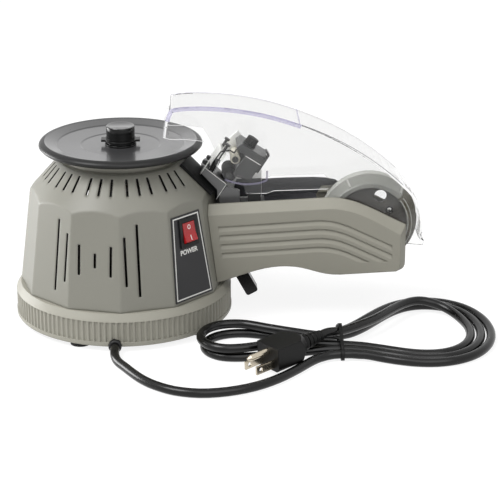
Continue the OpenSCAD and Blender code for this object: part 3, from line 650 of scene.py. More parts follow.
@dataclass
class Bench:
    """Makes pieces from millimetre shapes, paints them and sets them on their bodies.

    Attributes:
        paint: Source of the materials.
        edge_angle: Least angle of an edge that is rounded, in radians.
        sharp: Least angle of an edge that is shaded as sharp, in degrees.
        sink: Depth by which a screw's head goes into its seat.
        head_height: Height of a screw's head, as a share of its radius.
        dome: Profile of a screw's head, as shares of its radius and height.
        recess: Half width and reach of a screw's recess, as shares of the head's radius.
        recess_low: Bottom of the recess, as a share of the head's height.
        recess_proud: Height of the recess above the head.
    """

    paint: Paintbox
    edge_angle: float = 0.5
    sharp: float = 32.0
    sink: float = 0.05
    head_height: float = 0.5
    dome: tuple[Spot, ...] = ((1, 0.45), (0.92, 0.75), (0.7, 0.94), (0, 1))
    recess: Spot = (0.13, 0.6)
    recess_low: float = 0.8
    recess_proud: float = 0.03

    def make(self, name: str, shape: Shape, place: Matrix, look: Look, body: Body,
             round_by: float = 0.0) -> bpy.types.Object:
        """Turns a shape into a piece.

        Args:
            name: The piece's name.
            shape: The shape in millimetres, in its local frame. It is freed.
            place: Local frame, in millimetres from the carousel axis.
            look: The piece's look.
            body: The body that carries it.
            round_by: Radius of the rounded edges.

        Returns:
            The new object.
        """
        bmesh.ops.recalc_face_normals(shape, faces=shape.faces)
        if round_by > 0:
            edges = [e for e in shape.edges if e.is_manifold and e.calc_face_angle() > self.edge_angle]
            bmesh.ops.bevel(shape, geom=edges, offset=round_by, segments=3, profile=0.5, affect="EDGES")
        bmesh.ops.transform(shape, matrix=TO_ROW @ place, verts=shape.verts)
        mesh = bpy.data.meshes.new(name)
        shape.to_mesh(mesh)
        shape.free()
        obj = bpy.data.objects.new(name, mesh)
        bpy.context.scene.collection.objects.link(obj)
        self.paint.paint(obj, look)
        for face in mesh.polygons:
            face.use_smooth = True
        mesh.set_sharp_from_angle(angle=math.radians(self.sharp))
        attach(obj, body.value)
        log.info("%s on %s", name, body.value)
        return obj

    @staticmethod
    def plate(outline: Sequence[Spot], low: float, high: float) -> Shape:
        """Extrudes an outline along Z.

        Args:
            outline: Corners in order.
            low: Start in Z.
            high: End in Z.

        Returns:
            The shape.
        """
        shape = bmesh.new()
        lower, upper = ([shape.verts.new((x, y, z)) for x, y in outline] for z in (low, high))
        for i in range(len(outline)):
            shape.faces.new((lower[i - 1], lower[i], upper[i], upper[i - 1]))
        shape.faces.new(upper)
        shape.faces.new(lower[::-1])
        return shape

    @staticmethod
    def band(inner: Sequence[Point], outer: Sequence[Point], rise: Vector, closed: bool = False) -> Shape:
        """Makes a thin band between two lines of the same number of points.

        Args:
            inner: Points of one edge.
            outer: Points of the other edge.
            rise: Thickness as a vector.
            closed: True where the lines run in a ring.

        Returns:
            The shape.
        """
        shape = bmesh.new()
        corners = ((inner, Vector()), (outer, Vector()), (outer, rise), (inner, rise))
        rows = [[shape.verts.new(Vector(p) + up) for p in line] for line, up in corners]
        for i in range(0 if closed else 1, len(inner)):
            for a, b in ((0, 1), (1, 2), (2, 3), (3, 0)):
                shape.faces.new((rows[a][i - 1], rows[b][i - 1], rows[b][i], rows[a][i]))
        if not closed:
            for i in (0, -1):
                shape.faces.new([line[i] for line in rows])
        return shape

    def ribbon(self, line: Sequence[Spot], width: float, low: float, high: float) -> Shape:
        """Makes a band along a flat line, on its right.

        Args:
            line: Points of the line.
            width: Width of the band.
            low: Start in Z.
            high: End in Z.

        Returns:
            The shape.
        """
        points = [Vector(q) for q in line]
        inner, outer = [], []
        for before, here, after in zip([points[0], *points], points, [*points[1:], points[-1]]):
            ahead = after - before
            beside = here + width * Vector((ahead.y, -ahead.x)).normalized()
            inner.append((*here, low))
            outer.append((*beside, low))
        return self.band(inner, outer, Vector((0, 0, high - low)))

    @staticmethod
    def lathe(profile: Sequence[Spot], n: int = 40) -> Shape:
        """Turns a profile about Z.

        Args:
            profile: Radius and height of each point, from the axis to the axis.
            n: Steps round the axis.

        Returns:
            The shape.
        """
        shape = bmesh.new()
        turn = [(math.cos(2 * math.pi * k / n), math.sin(2 * math.pi * k / n)) for k in range(n)]
        rings = [[shape.verts.new((r * c, r * s, z)) for c, s in (turn if r > 0 else turn[:1])]
                 for r, z in profile]
        for low, high in zip(rings, rings[1:]):
            for k in range(n):
                j = (k + 1) % n
                corners = (low[k % len(low)], low[j % len(low)], high[j % len(high)], high[k % len(high)])
                shape.faces.new(list(dict.fromkeys(corners)))
        return shape

    def screw(self, name: str, place: Matrix, radius: float, body: Body) -> None:
        """Sets a pan-head screw whose cross recess is a black plate, painted shade in place of a hollow.

        Args:
            name: The screw's name.
            place: Frame of its seat, with Z out of the surface.
            radius: Radius of the head.
            body: The body that carries it.
        """
        high = self.head_height * radius
        dome = [(r * radius, z * high) for r, z in self.dome]
        head = self.lathe([(0, -self.sink), (radius, -self.sink), *dome])
        self.make(f"{name}_head", head, place, Look.STEEL, body)
        # Painted shade: the recess is a black cross on the head, not a hollow
        a, b = (share * radius for share in self.recess)
        cross = [(a, a), (b, a), (b, -a), (a, -a), (a, -b), (-a, -b),
                 (-a, -a), (-b, -a), (-b, a), (-a, a), (-a, b), (a, b)]
        recess = self.plate(cross, self.recess_low * high, high + self.recess_proud)
        self.make(f"{name}_recess", recess, place, Look.BLACK, body)


# Camera and studio


class LampKind(str, Enum):
    """Kinds of lamp in the studio."""

    SUN = "SUN"
    PANEL = "AREA"


@dataclass(frozen=True)
class Lamp:
    """A lamp that points at the object.

    Attributes:
        name: Its name.
        kind: Its kind.
        energy: Its strength.
        spread: Angle of a sun in degrees, or side of a panel in metres.
        place: Its place in metres.
    """

    name: str
    kind: LampKind
    energy: float
    spread: float
    place: Point

    def hang(self, aim: Vector) -> None:
        """Hangs the lamp.

        Args:
            aim: The point that it is turned to.
        """
        data = bpy.data.lights.new(self.name, self.kind.value)
        data.energy = self.energy
        if self.kind is LampKind.SUN:
            data.angle = math.radians(self.spread)
        else:
            data.size = self.spread
        lamp = bpy.data.objects.new(self.name.replace(" ", "_"), data)
        lamp.location = self.place
        lamp.rotation_euler = (aim - Vector(self.place)).to_track_quat("-Z", "Y").to_euler()
        bpy.context.scene.collection.objects.link(lamp)


@dataclass
class Studio:
    """Camera, floor and light.

    Attributes:
        eye: Camera's place in millimetres from the carousel axis.
        down: Angle at which the camera looks down, in degrees.
        turn: Angle at which it looks to the right, in degrees.
        lens: Focal length in millimetres.
        sensor: Width of the picture's sensor in millimetres.
        floor_half: Half of the floor's side in metres.
        floor_shade: Shade of the floor where it lights the object and where it is seen.
        glow: The seen floor's own light, which makes it white.
        ambient: Strength of the world's light on the object.
        aim: Point that the lamps are turned to, in metres.
        lamps: The wide key from the left, a weak soft box and a low panel on the left.
    """

    eye: Point = (50.5, -1342.8, 545.5)
    down: float = 20.24
    turn: float = 2.13
    lens: float = 129.6
    sensor: float = 36.0
    floor_half: float = 4.0
    floor_shade: Spot = (0.8, 0.24)
    glow: float = 0.85
    ambient: float = 0.3
    aim: Point = (0.0, 0.0, 0.06)
    lamps: tuple[Lamp, ...] = (
        Lamp("key", LampKind.SUN, 2.15, 30.0, (-0.9, -0.5, 1.35)),
        Lamp("soft box", LampKind.PANEL, 11.0, 1.4, (0.35, -1.2, 1.2)),
        Lamp("left wing", LampKind.PANEL, 8.0, 0.5, (-0.85, 0.3, 0.08)))

    def camera(self) -> None:
        """Places the camera."""
        data = bpy.data.cameras.new("photo camera")
        data.lens = self.lens
        data.sensor_width = self.sensor
        data.clip_end = 50.0
        cam = bpy.data.objects.new("photo_camera", data)
        cam.location = row(*self.eye)
        cam.rotation_euler = (math.radians(90 - self.down), 0.0, math.radians(-self.turn))
        bpy.context.scene.collection.objects.link(cam)
        bpy.context.scene.camera = cam

    @staticmethod
    def seen(w: Wiring) -> Socket:
        """Gives 1 to the rays that show the background: camera, glossy and transmitted ones.

        Args:
            w: Wiring of the material or world.

        Returns:
            The mask.
        """
        path = w.add("ShaderNodeLightPath").outputs
        mask = w.math("MAXIMUM", path["Is Camera Ray"], path["Is Glossy Ray"])
        return w.math("MAXIMUM", mask, path["Is Transmission Ray"])

    def floor(self) -> None:
        """Lays the pale floor, which shows white and keeps the object's shadow."""
        h = self.floor_half
        mesh = bpy.data.meshes.new("floor")
        mesh.from_pydata([(-h, -h, 0), (h, -h, 0), (h, h, 0), (-h, h, 0)], [], [(0, 1, 2, 3)])
        obj = bpy.data.objects.new("floor", mesh)
        bpy.context.scene.collection.objects.link(obj)
        mat, w, shader = new_material("pale floor")
        seen = self.seen(w)
        w.fill(shader, Base_Color=w.between(seen, *self.floor_shade), Roughness=0.9, Specular_IOR_Level=0.0,
               Emission_Color=(1.0, 1.0, 1.0), Emission_Strength=w.math("MULTIPLY", seen, self.glow))
        mesh.materials.append(mat)

    def world(self) -> None:
        """Sets the world, which shows white and lights the object softly."""
        world = bpy.data.worlds.new("studio")
        bpy.context.scene.world = world
        world.use_nodes = True
        w = Wiring(world.node_tree)
        back = next(n for n in world.node_tree.nodes if n.type == "BACKGROUND")
        w.fill(back, Color=(1.0, 1.0, 1.0), Strength=w.between(self.seen(w), self.ambient, 1.0))

    def build(self) -> None:
        """Sets up everything around the object."""
        bpy.context.scene.view_settings.view_transform = "Standard"
        self.camera()
        self.floor()
        self.world()
        for lamp in self.lamps:
            lamp.hang(Vector(self.aim))
        log.info("studio with %d lamps", len(self.lamps))


# Mains cord


@dataclass
class MainsCord:
    """The mains lead with its hank, in millimetres from the carousel axis.

    Attributes:
        diameter: Diameter of the cord.
        step: Distance between neighbouring strands.
        turns: Turns of the hank before it climbs to the plug.
        steps: Points of the hank, and the first that is used.
        nudge: Step in turns that finds the loop's heading.
        fineness: Points drawn for each stretch of the route.
        gap: Gap between the cord and what it lies on.
        tie_x: Place of the tie along the arm.
        waist_lift: Height by which the strands are lifted under the tie.
        waist: Half length of that rise.
        duck: Strands by which the second turn moves back outwards, to cross over the first.
        duck_at: Turns over which it moves out and back.
        climb_at: Turns over which it climbs, comes down and climbs again to the plug.
        plug_at: Where the cord meets the plug's relief.
        plug_turn: Heading of the plug in degrees.
        plug_dip: Slope of the plug in degrees.
        plug_run: Length of the straight run into the plug.
        lead: Route from the housing to the tie.
        lead_end: Where the lead joins the hank.
        lead_heading: Heading of the lead there, in degrees.
        loop: Points that pull the hank's outer loop, which is a closed smooth curve.
        tail: Route from the hank to the plug's relief.
    """

    diameter: float = 7.0
    step: float = 7.9
    turns: float = 2.48
    steps: tuple[int, int] = (120, 3)
    nudge: float = 0.002
    fineness: int = 3
    gap: float = 0.1
    tie_x: float = 166.0
    waist_lift: float = 1.5
    waist: float = 26.0
    duck: float = 1.35
    duck_at: tuple[Spot, ...] = ((1.57, 1.76), (1.84, 1.99))
    climb_at: tuple[Spot, ...] = ((1.54, 1.63), (1.93, 2.0), (2.3, 2.44))
    plug_at: Point = (150.0, -95.5, 16.0)
    plug_turn: float = 218.0
    plug_dip: float = 3.5
    plug_run: float = 8.0
    lead: tuple[Point, ...] = (
        (-5, -88, 5.6), (-5, -95, 5.4), (-4.5, -102, 4.4), (-2, -111, 3.7), (4, -122, 3.6), (10, -133, 3.6),
        (17, -144, 3.6), (26, -154, 3.6), (40, -164, 3.6), (58, -169, 3.6), (78, -167, 3.6), (98, -159, 3.6),
        (115, -146.5, 3.6), (129.5, -131, 3.6), (142.3, -116, 4.0), (150.1, -109.9, 4.4),
        (159.4, -106.4, 4.9))
    lead_end: Point = (178.0, -107.4, 5.1)
    lead_heading: float = -11.0
    loop: tuple[Spot, ...] = (
        (166, -104), (190, -109), (214, -121), (243, -124), (271, -109), (287, -79), (288, -43), (275, -10),
        (246, 7), (213, 0), (187, -33), (167, -62), (141, -69), (115, -61), (91, -51), (63, -60), (52, -88),
        (69, -114), (102, -113), (135, -105))
    tail: tuple[Point, ...] = ((197, -53, 12.0), (183, -68, 12.8), (168, -81, 13.6))

    @staticmethod
    def through(points: Sequence[Vector], n: int) -> list[Vector]:
        """Draws a smooth open curve through points.

        Args:
            points: The points.
            n: Points drawn for each stretch.

        Returns:
            The points of the curve.
        """
        padded = [points[0], *points, points[-1]]
        line = []
        for a, b, c, d in zip(padded, padded[1:], padded[2:], padded[3:]):
            for s in (k / n for k in range(n)):
                bend = 2 * a - 5 * b + 4 * c - d + s * (3 * (b - c) + d - a)
                line.append(b + 0.5 * s * (c - a + s * bend))
        return line + [points[-1]]

    def loop_at(self, t: float) -> Vector:
        """Gives a point on the closed outer loop of the hank.

        Args:
            t: Place on the loop in turns.

        Returns:
            The point, flat on the floor.
        """
        m = len(self.loop)
        i, s = divmod((t - math.floor(t)) * m, 1)
        a, b, c, d = (Vector(self.loop[(int(i) + k) % m]) for k in (-1, 0, 1, 2))
        shares = (1 - s) ** 3, 3 * s ** 3 - 6 * s * s + 4, 3 * s + 3 * s * s - 3 * s ** 3 + 1, s ** 3
        return (shares[0] * a + shares[1] * b + shares[2] * c + shares[3] * d) / 6

    @staticmethod
    def ramp(t: float, span: Spot) -> float:
        """Rises smoothly from 0 at the start of a span to 1 at its end."""
        s = min(max((t - span[0]) / (span[1] - span[0]), 0.0), 1.0)
        return s * s * (3 - 2 * s)

    def hank_point(self, t: float) -> Vector:
        """Gives a point of the hank, wound inwards from its outer loop.

        Args:
            t: Place along the hank in turns.

        Returns:
            The point.
        """
        out, back = (self.ramp(t, span) for span in self.duck_at)
        up, down, again = (self.ramp(t, span) for span in self.climb_at)
        ahead = self.loop_at(t + self.nudge) - self.loop_at(t - self.nudge)
        inset = self.step * (t - self.duck * (out - back))
        q = self.loop_at(t) + inset * Vector((-ahead.y, ahead.x)).normalized()
        rise = self.waist_lift * math.exp(-((q.x - self.tie_x) / self.waist) ** 2)
        lift = (self.step - self.gap) * (up - down + again)
        return Vector((q.x, q.y, self.diameter / 2 + self.gap + lift + rise))

    @staticmethod
    def heading(turn: float, dip: float = 0.0) -> Vector:
        """Gives the direction of a heading and a slope downwards, both in degrees."""
        a, b = math.radians(turn), math.radians(dip)
        return Vector((math.cos(a) * math.cos(b), math.sin(a) * math.cos(b), -math.sin(b)))

    def route(self) -> list[Vector]:
        """Lists the cord's points from the housing to the plug.

        Returns:
            The points in metres.
        """
        ahead, end = self.diameter * self.heading(self.lead_heading), Vector(self.lead_end)
        points = [Vector(p) for p in self.lead] + [end - ahead, end, end + ahead]
        count, first = self.steps
        points += [self.hank_point(i * self.turns / count) for i in range(first, count + 1)]
        into_plug = self.plug_run * self.heading(self.plug_turn, self.plug_dip)
        points += [Vector(p) for p in self.tail] + [Vector(self.plug_at) - into_plug, Vector(self.plug_at)]
        return [row(*p) for p in self.through(points, self.fineness)]

    def build(self, paint: Paintbox, nodes: dict[str, bpy.types.Object]) -> None:
        """Args:
            paint: Source of the materials.
            nodes: The CAD objects by name; not used.
        """
        points = self.route()
        data = bpy.data.curves.new("mains cord", "CURVE")
        data.dimensions = "3D"
        data.bevel_depth = self.diameter / 2 * MM
        data.bevel_resolution = 6
        data.use_fill_caps = True
        spline = data.splines.new("POLY")
        spline.points.add(len(points) - 1)
        for knot, p in zip(spline.points, points):
            knot.co = (*p, 1.0)
        spline.use_smooth = True
        cord = bpy.data.objects.new("mains_cord", data)
        bpy.context.scene.collection.objects.link(cord)
        data.materials.append(paint.of(Look.VINYL))
        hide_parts("cord_lead", "cord_hank")
        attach(cord, Body.BASE.value)


# Pieces that finish the CAD solids


@dataclass
class CoverTrim:
    """The tinted edges and bends of the clear cover with painted reflection, its step, and its fainter ends.

    Attributes:
        half: Half of the cover's width.
        proud: Height of the bands above the sheet.
        lip: Width of the tinted band along the crown, in front and at the back.
        line: Width of the thin edge along the rest of the crown.
        line_end: Where the thin edge ends along the arm.
        step_x: Where the band ends in a step along the arm.
        step: Length and height of the step.
        left_x: Where the faint left end stops along the arm.
        right: Corner beyond which the right end is faint, in the side view.
        reel: Reel's axis in the side view.
        end_r: Radius at which the crown comes down to the reel.
        ease: Length of the crown's last control arm along each axis.
        crown_left: Control points of the crown's left stretch.
        crown_right: Second control point of its right stretch.
        crown_steps: Steps of each stretch.
        end: Line of the left end, from below.
        end_width: Width of the pale strip on it.
        corner: Line from the left end to the crown.
        foot: Control points of the lower edge, in two stretches.
        foot_steps: Steps of each of them.
        foot_width: Width of the band along it.
    """

    half: float = 20.5
    proud: float = 0.12
    lip: Spot = (3.4, 1.0)
    line: float = 0.5
    line_end: float = 219.0
    step_x: float = 140.0
    step: Spot = (0.9, 0.25)
    left_x: float = 39.5
    right: Spot = (218.0, 86.0)
    reel: Spot = (194.0, 76.5)
    end_r: float = 41.2
    ease: float = 36.0
    crown_left: tuple[Spot, ...] = ((39, 172.6), (52, 176.4), (92, 174.4), (122, 165))
    crown_right: Spot = (152, 155.6)
    crown_steps: int = 48
    end: tuple[Spot, ...] = ((33.2, 150.4), (34.1, 157), (34.9, 163.2))
    end_width: float = 0.6
    corner: tuple[Spot, ...] = ((34.9, 163.2), (36.2, 167.4), (37.4, 170.2), (38.4, 171.9))
    foot: tuple[tuple[Spot, ...], ...] = (
        ((113.6, 122.5), (113.6, 118), (113.6, 115), (112.8, 114.2)),
        ((112.8, 114.2), (106, 110.2), (92, 109.6), (80, 115.2)))
    foot_steps: tuple[int, int] = (6, 16)
    foot_width: float = 1.5

    @staticmethod
    def bezier(control: Sequence[Spot], n: int) -> list[Vector]:
        """Lists points on a cubic curve.

        Args:
            control: Its four control points.
            n: Number of steps.

        Returns:
            The points.
        """
        a, b, c, d = (Vector(p) for p in control)
        return [a * (1 - t) ** 3 + 3 * b * t * (1 - t) ** 2 + 3 * c * t * t * (1 - t) + d * t ** 3
                for t in (i / n for i in range(n + 1))]

    def crown(self) -> list[Vector]:
        """Lists the crown's points, from the left corner down to the reel.

        Returns:
            The points in the side view.
        """
        slope = Vector((math.cos(math.pi / 4), math.sin(math.pi / 4)))
        end = Vector(self.reel) + self.end_r * slope
        arm = end + Vector((-self.ease, self.ease))
        right = (self.crown_left[-1], self.crown_right, arm, end)
        return self.bezier(self.crown_left, self.crown_steps) + self.bezier(right, self.crown_steps)[1:]

    def faint(self, face: Face) -> bool:
        """Tells whether a face of the cover belongs to one of its faint ends."""
        x, z = face.center.x / MM + MID_X, face.center.z / MM
        return x < self.left_x or x > self.right[0] and z > self.right[1]

    def strip(self, bench: Bench, name: str, line: Sequence[Spot], width: float, y: float,
              look: Look = Look.EDGE) -> None:
        """Lays a tinted band with painted reflection to the right of a line in the side view, on the panel at
        y.
        """
        rise = self.proud if y < 0 else -self.proud
        bench.make(name, bench.ribbon(line, width, 0.0, rise), side_place(y), look, Body.COVER)

    def build(self, bench: Bench, cover: bpy.types.Object) -> None:
        """Makes the bands and the step, and paints the ends.

        Args:
            bench: Maker of the pieces.
            cover: The cover's CAD object.
        """
        bench.paint.zone(cover, Look.FILM, list(filter(self.faint, cover.data.polygons)))
        front, back = -self.half, self.half
        crown = self.crown()
        lip = [p for p in crown if p.x <= self.step_x]
        # Tinted bands with painted reflection along the cover's edges and bends
        self.strip(bench, "cover_end_front", self.end, self.end_width, front, Look.PALE)
        self.strip(bench, "cover_lip_front", [*self.corner, *lip], self.lip[0], front)
        self.strip(bench, "cover_lip_back", lip, self.lip[1], back)
        corner, edge = (self.bezier(q, n) for q, n in zip(self.foot, self.foot_steps))
        self.strip(bench, "cover_foot_front", corner + edge[1:], self.foot_width, front, Look.FAINT)
        rest = [p for p in crown if self.step_x - 1 < p.x < self.line_end]
        for side, y in (("front", front), ("back", back)):
            self.strip(bench, f"cover_edge_{side}", rest, self.line, y, Look.LINE)
        at, after = ([p for p in crown if p.x <= self.step_x + d][-1] for d in (-1, 1))
        ahead = (after - at).normalized()
        length, height = self.step
        lines = [[(p.x, y, p.y) for p in (at, at + length * ahead)] for y in (front, back)]
        step = bench.band(*lines, height * Vector((-ahead.y, 0, ahead.x)))
        bench.make("cover_step", step, Matrix.Identity(4), Look.EDGE, Body.COVER)


@dataclass
class SwitchMarks:
    """The generic marks of the rocker and the legend under it.

    Attributes:
        flat: Direction of the housing's flat in degrees.
        flats: Number of flats round the housing.
        corner_low: Radius of the housing's corners at its seat.
        taper: Change of that radius with height.
        seat_z: Height of the seat.
        rocker_z: Height of the rocker's middle.
        label_z: Height of the label's middle.
        label_t: Thickness of the label.
        mark_t: Thickness of the marks.
        ring: Half axes of the ring's inner and outer edge.
        ring_at: Place of the ring on the rocker.
        ring_slope: Slope of the rocker's upper face.
        bar: Half sides of the bar.
        bar_at: Place of the bar on the rocker.
        bar_slope: Slope of the rocker's lower face.
        legend_at: Place of the legend on the label.
        legend_size: Size of its letters.
        legend_bold: Width added to its strokes.
        legend_t: Half of its thickness.
    """

    flat: float = -45.0
    flats: int = 12
    corner_low: float = 81.3
    taper: float = 0.12908
    seat_z: float = 30.0
    rocker_z: float = 84.2
    label_z: float = 71.0
    label_t: float = 0.8
    mark_t: float = 0.06
    ring: tuple[Spot, Spot] = ((1.0, 1.15), (1.65, 1.85))
    ring_at: Point = (0, 4.3, 2.37)
    ring_slope: float = -0.075
    bar: Spot = (0.42, 1.9)
    bar_at: Point = (0, -3.9, 3.98)
    bar_slope: float = -1 / 3
    legend_at: Spot = (-1.0, -1.6)
    legend_size: float = 5.2
    legend_bold: float = 0.2
    legend_t: float = 0.04

    def place(self, z: float) -> Matrix:
        """Gives the frame on the flat at a height: X along it, Y up it and Z outwards.

        Args:
            z: Height.

        Returns:
            The frame.
        """
        share = math.cos(math.pi / self.flats)
        apothem = (self.corner_low - self.taper * (z - self.seat_z)) * share
        tilt = math.atan(self.taper * share)
        turn = Matrix(((0, 0, 1, 0), (1, 0, 0, 0), (0, 1, 0, 0), (0, 0, 0, 1)))
        return (Matrix.Rotation(math.radians(self.flat), 4, "Z") @ Matrix.Translation((apothem, 0, z))
                @ Matrix.Rotation(-tilt, 4, "Y") @ turn)

    def build(self, bench: Bench) -> None:
        """Makes the ring, the bar and the legend.

        Args:
            bench: Maker of the pieces.
        """
        around = [(math.cos(k * math.pi / 16), math.sin(k * math.pi / 16)) for k in range(32)]
        edges = [[(a * c, b * s, 0) for c, s in around] for a, b in self.ring]
        ring = bench.band(*edges, Vector((0, 0, self.mark_t)), closed=True)
        a, b = self.bar
        bar = bench.plate([(-a, -b), (a, -b), (a, b), (-a, b)], 0, self.mark_t)
        marks = (("ring", ring, self.ring_at, self.ring_slope), ("bar", bar, self.bar_at, self.bar_slope))
        for name, shape, at, slope in marks:
            tilt = Matrix.Translation(at) @ Matrix.Rotation(math.atan(slope), 4, "X")
            bench.make(f"rocker_{name}_mark", shape, self.place(self.rocker_z) @ tilt, Look.MARK, Body.ROCKER)
        spot = self.place(self.label_z) @ Matrix.Translation((*self.legend_at, self.label_t))
        bench.make("switch_legend", self.legend(), spot, Look.BORDER, Body.BASE)

    def legend(self) -> Shape:
        """Sets the plain word for the supply that switches carry.

        Returns:
            The word's shape, in millimetres about its middle.
        """
        data = bpy.data.curves.new("legend", "FONT")
        data.body = "POWER"
        data.size = self.legend_size
        data.align_x = "CENTER"
        data.align_y = "CENTER"
        data.extrude = self.legend_t
        data.offset = self.legend_bold
        text = bpy.data.objects.new("legend_curve", data)
        shape = bmesh.new()
        shape.from_mesh(text.to_mesh())
        text.to_mesh_clear()
        bpy.data.objects.remove(text)
        bpy.data.curves.remove(data)
        return shape


@dataclass
class ReelDress:
    """Painted shade on the reel: a darker cone, an olive painted shadow on the sector that faces away from
    the key light, and the shaded sunken web; also the ridges on that sector and the screws.

    Attributes:
        at: Axis in the side view.
        rim_r: Radius of the cone at the rim.
        crown_r: Radius of the cone at the crown.
        half: Half of the reel's width.
        cone: Width of one cone.
        near: Distance from the cone that counts as on it.
        slack: The same for the rim and the web's edge.
        web_r: Radius of the sunken web.
        shadow_sector: Start and end, in degrees, of the sector painted olive as shadow.
        ridges: Radii of the ridges on the cone.
        ridge: Width, plane and thickness of a ridge.
        ridge_turn: Start, end and step of a ridge's points in degrees.
        screws: Number of screws.
        screw_r: Radius at which the screws sit.
        screw_turn: Direction of the first screw in degrees.
        head_r: Radius of a screw's head.
        web_y: Plane of the web's front.
        washer: Profile of a screw's washer.
    """

    at: Spot = (194.0, 76.5)
    rim_r: float = 33.4
    crown_r: float = 37.6
    half: float = 14.2
    cone: float = 10.2
    near: float = 0.25
    slack: float = 0.1
    web_r: float = 29.2
    shadow_sector: Spot = (-70.0, 43.0)
    ridges: Spot = (29.6, 32.4)
    ridge: Point = (0.7, 15.0, 0.15)
    ridge_turn: tuple[int, int, int] = (-60, 42, 3)
    screws: int = 3
    screw_r: float = 18.2
    screw_turn: float = 31.0
    head_r: float = 1.9
    web_y: float = -9.0
    washer: tuple[Spot, ...] = ((0, -0.05), (3.1, -0.05), (3.1, 0.25), (2.7, 0.4), (0, 0.4))

    def polar(self, face: Face) -> Spot:
        """Gives a face's distance from the axis and its direction in degrees."""
        x, z = face.center.x / MM + MID_X - self.at[0], face.center.z / MM - self.at[1]
        return math.hypot(x, z), math.degrees(math.atan2(z, x))

    def on_cone(self, face: Face) -> bool:
        """Tells whether a face lies on a cone or its rim, and not on a rib.

        Args:
            face: The face.

        Returns:
            True for a cone or the rim.
        """
        r = self.polar(face)[0]
        from_rim = self.half - abs(face.center.y) / MM
        cone_r = self.rim_r + from_rim * (self.crown_r - self.rim_r) / self.cone
        on_cone = r > self.web_r and from_rim < self.cone and abs(r - cone_r) < self.near
        return on_cone or from_rim <= self.slack

    def in_shadow_sector(self, face: Face) -> bool:
        """Tells whether a face lies in the sector that is painted olive as shadow."""
        r, turn = self.polar(face)
        return r > self.web_r and self.shadow_sector[0] < turn < self.shadow_sector[1]

    def on_web(self, face: Face) -> bool:
        """Tells whether a face belongs to the sunken web."""
        return self.polar(face)[0] < self.web_r - self.slack

    def around(self, r: float, turn: float) -> Spot:
        """Gives the point at a radius and a direction in degrees, in the side view."""
        a = math.radians(turn)
        return self.at[0] + r * math.cos(a), self.at[1] + r * math.sin(a)

    def build(self, bench: Bench, reel: bpy.types.Object) -> None:
        """Paints the zones of shade, lays the ridges and sets the screws.

        Args:
            bench: Maker of the pieces.
            reel: The reel's CAD object.
        """
        # Painted shade: the cone darker, an olive painted shadow on one sector, the sunken web darker
        for look, test in ((Look.BAND, self.on_cone), (Look.PAINTED_SHADOW, self.in_shadow_sector), (Look.WEB, self.on_web)):
            bench.paint.zone(reel, look, list(filter(test, reel.data.polygons)))
        width, plane, thick = self.ridge
        for k, r in enumerate(self.ridges):
            edges = [[(*self.around(q, a), plane) for a in range(*self.ridge_turn)] for q in (r, r + width)]
            ridge = bench.band(*edges, Vector((0, 0, thick)))
            bench.make(f"reel_ridge_{k}", ridge, side_place(0), Look.REEL, Body.REEL)
        for k in range(self.screws):
            spot = self.around(self.screw_r, self.screw_turn + 360 / self.screws * k)
            seat = side_place(self.web_y) @ Matrix.Translation((*spot, 0))
            bench.make(f"reel_screw_{k}_washer", bench.lathe(self.washer), seat, Look.BLACK, Body.REEL)
            top = Matrix.Translation((0, 0, self.washer[-1][1]))
            bench.screw(f"reel_screw_{k}", seat @ top, self.head_r, Body.REEL)


@dataclass
class HousingDress:
    """The neck of the housing painted lighter, as painted light against the carousel's shadow, and painted
    shade in dull black on its inside and the walls of its slots.

    Attributes:
        outward: Least share of an outer face's normal that points away from the axis.
        upright: The same for the inner ends of the dome's slots.
        level: Least share of a level face's normal that points up.
        neck_z: Height at which the neck starts, above which a level face belongs to the outside.
        neck_r: Radius within which the neck lies.
        slot_end: Radius of the inner ends of the dome's slots.
        near: Distance from that radius that counts as on it.
    """

    outward: float = 0.3
    upright: float = 0.9
    level: float = 0.5
    neck_z: float = 118.0
    neck_r: float = 48.0
    slot_end: float = 51.0
    near: float = 0.5

    @staticmethod
    def radial(face: Face) -> Vector:
        """Gives the way from the axis to a face, level and in millimetres."""
        return (face.center - row(0, 0, face.center.z / MM)) / MM

    def inside(self, face: Face) -> bool:
        """Tells whether a face looks inwards or bounds a slot.

        Args:
            face: The face.

        Returns:
            True for the inside.
        """
        radial = self.radial(face)
        out = face.normal.dot(radial.normalized())
        if out > self.upright and abs(radial.length - self.slot_end) < self.near:
            return True
        outside_top = face.normal.z > self.level and face.center.z > self.neck_z * MM
        return out < self.outward and not outside_top

    def on_neck(self, face: Face) -> bool:
        """Tells whether a face belongs to the neck under the carousel."""
        return self.radial(face).length < self.neck_r and face.center.z > self.neck_z * MM

    def build(self, bench: Bench, housing: bpy.types.Object) -> None:
        """Paints light on the neck, and shade in dull black on the inside and the slot walls of the housing's
        CAD object.
        """
        # Painted light on the neck, painted shade on the inside and the slot walls
        for look, test in ((Look.NECK, self.on_neck), (Look.DULL, self.inside)):
            bench.paint.zone(housing, look, list(filter(test, housing.data.polygons)))


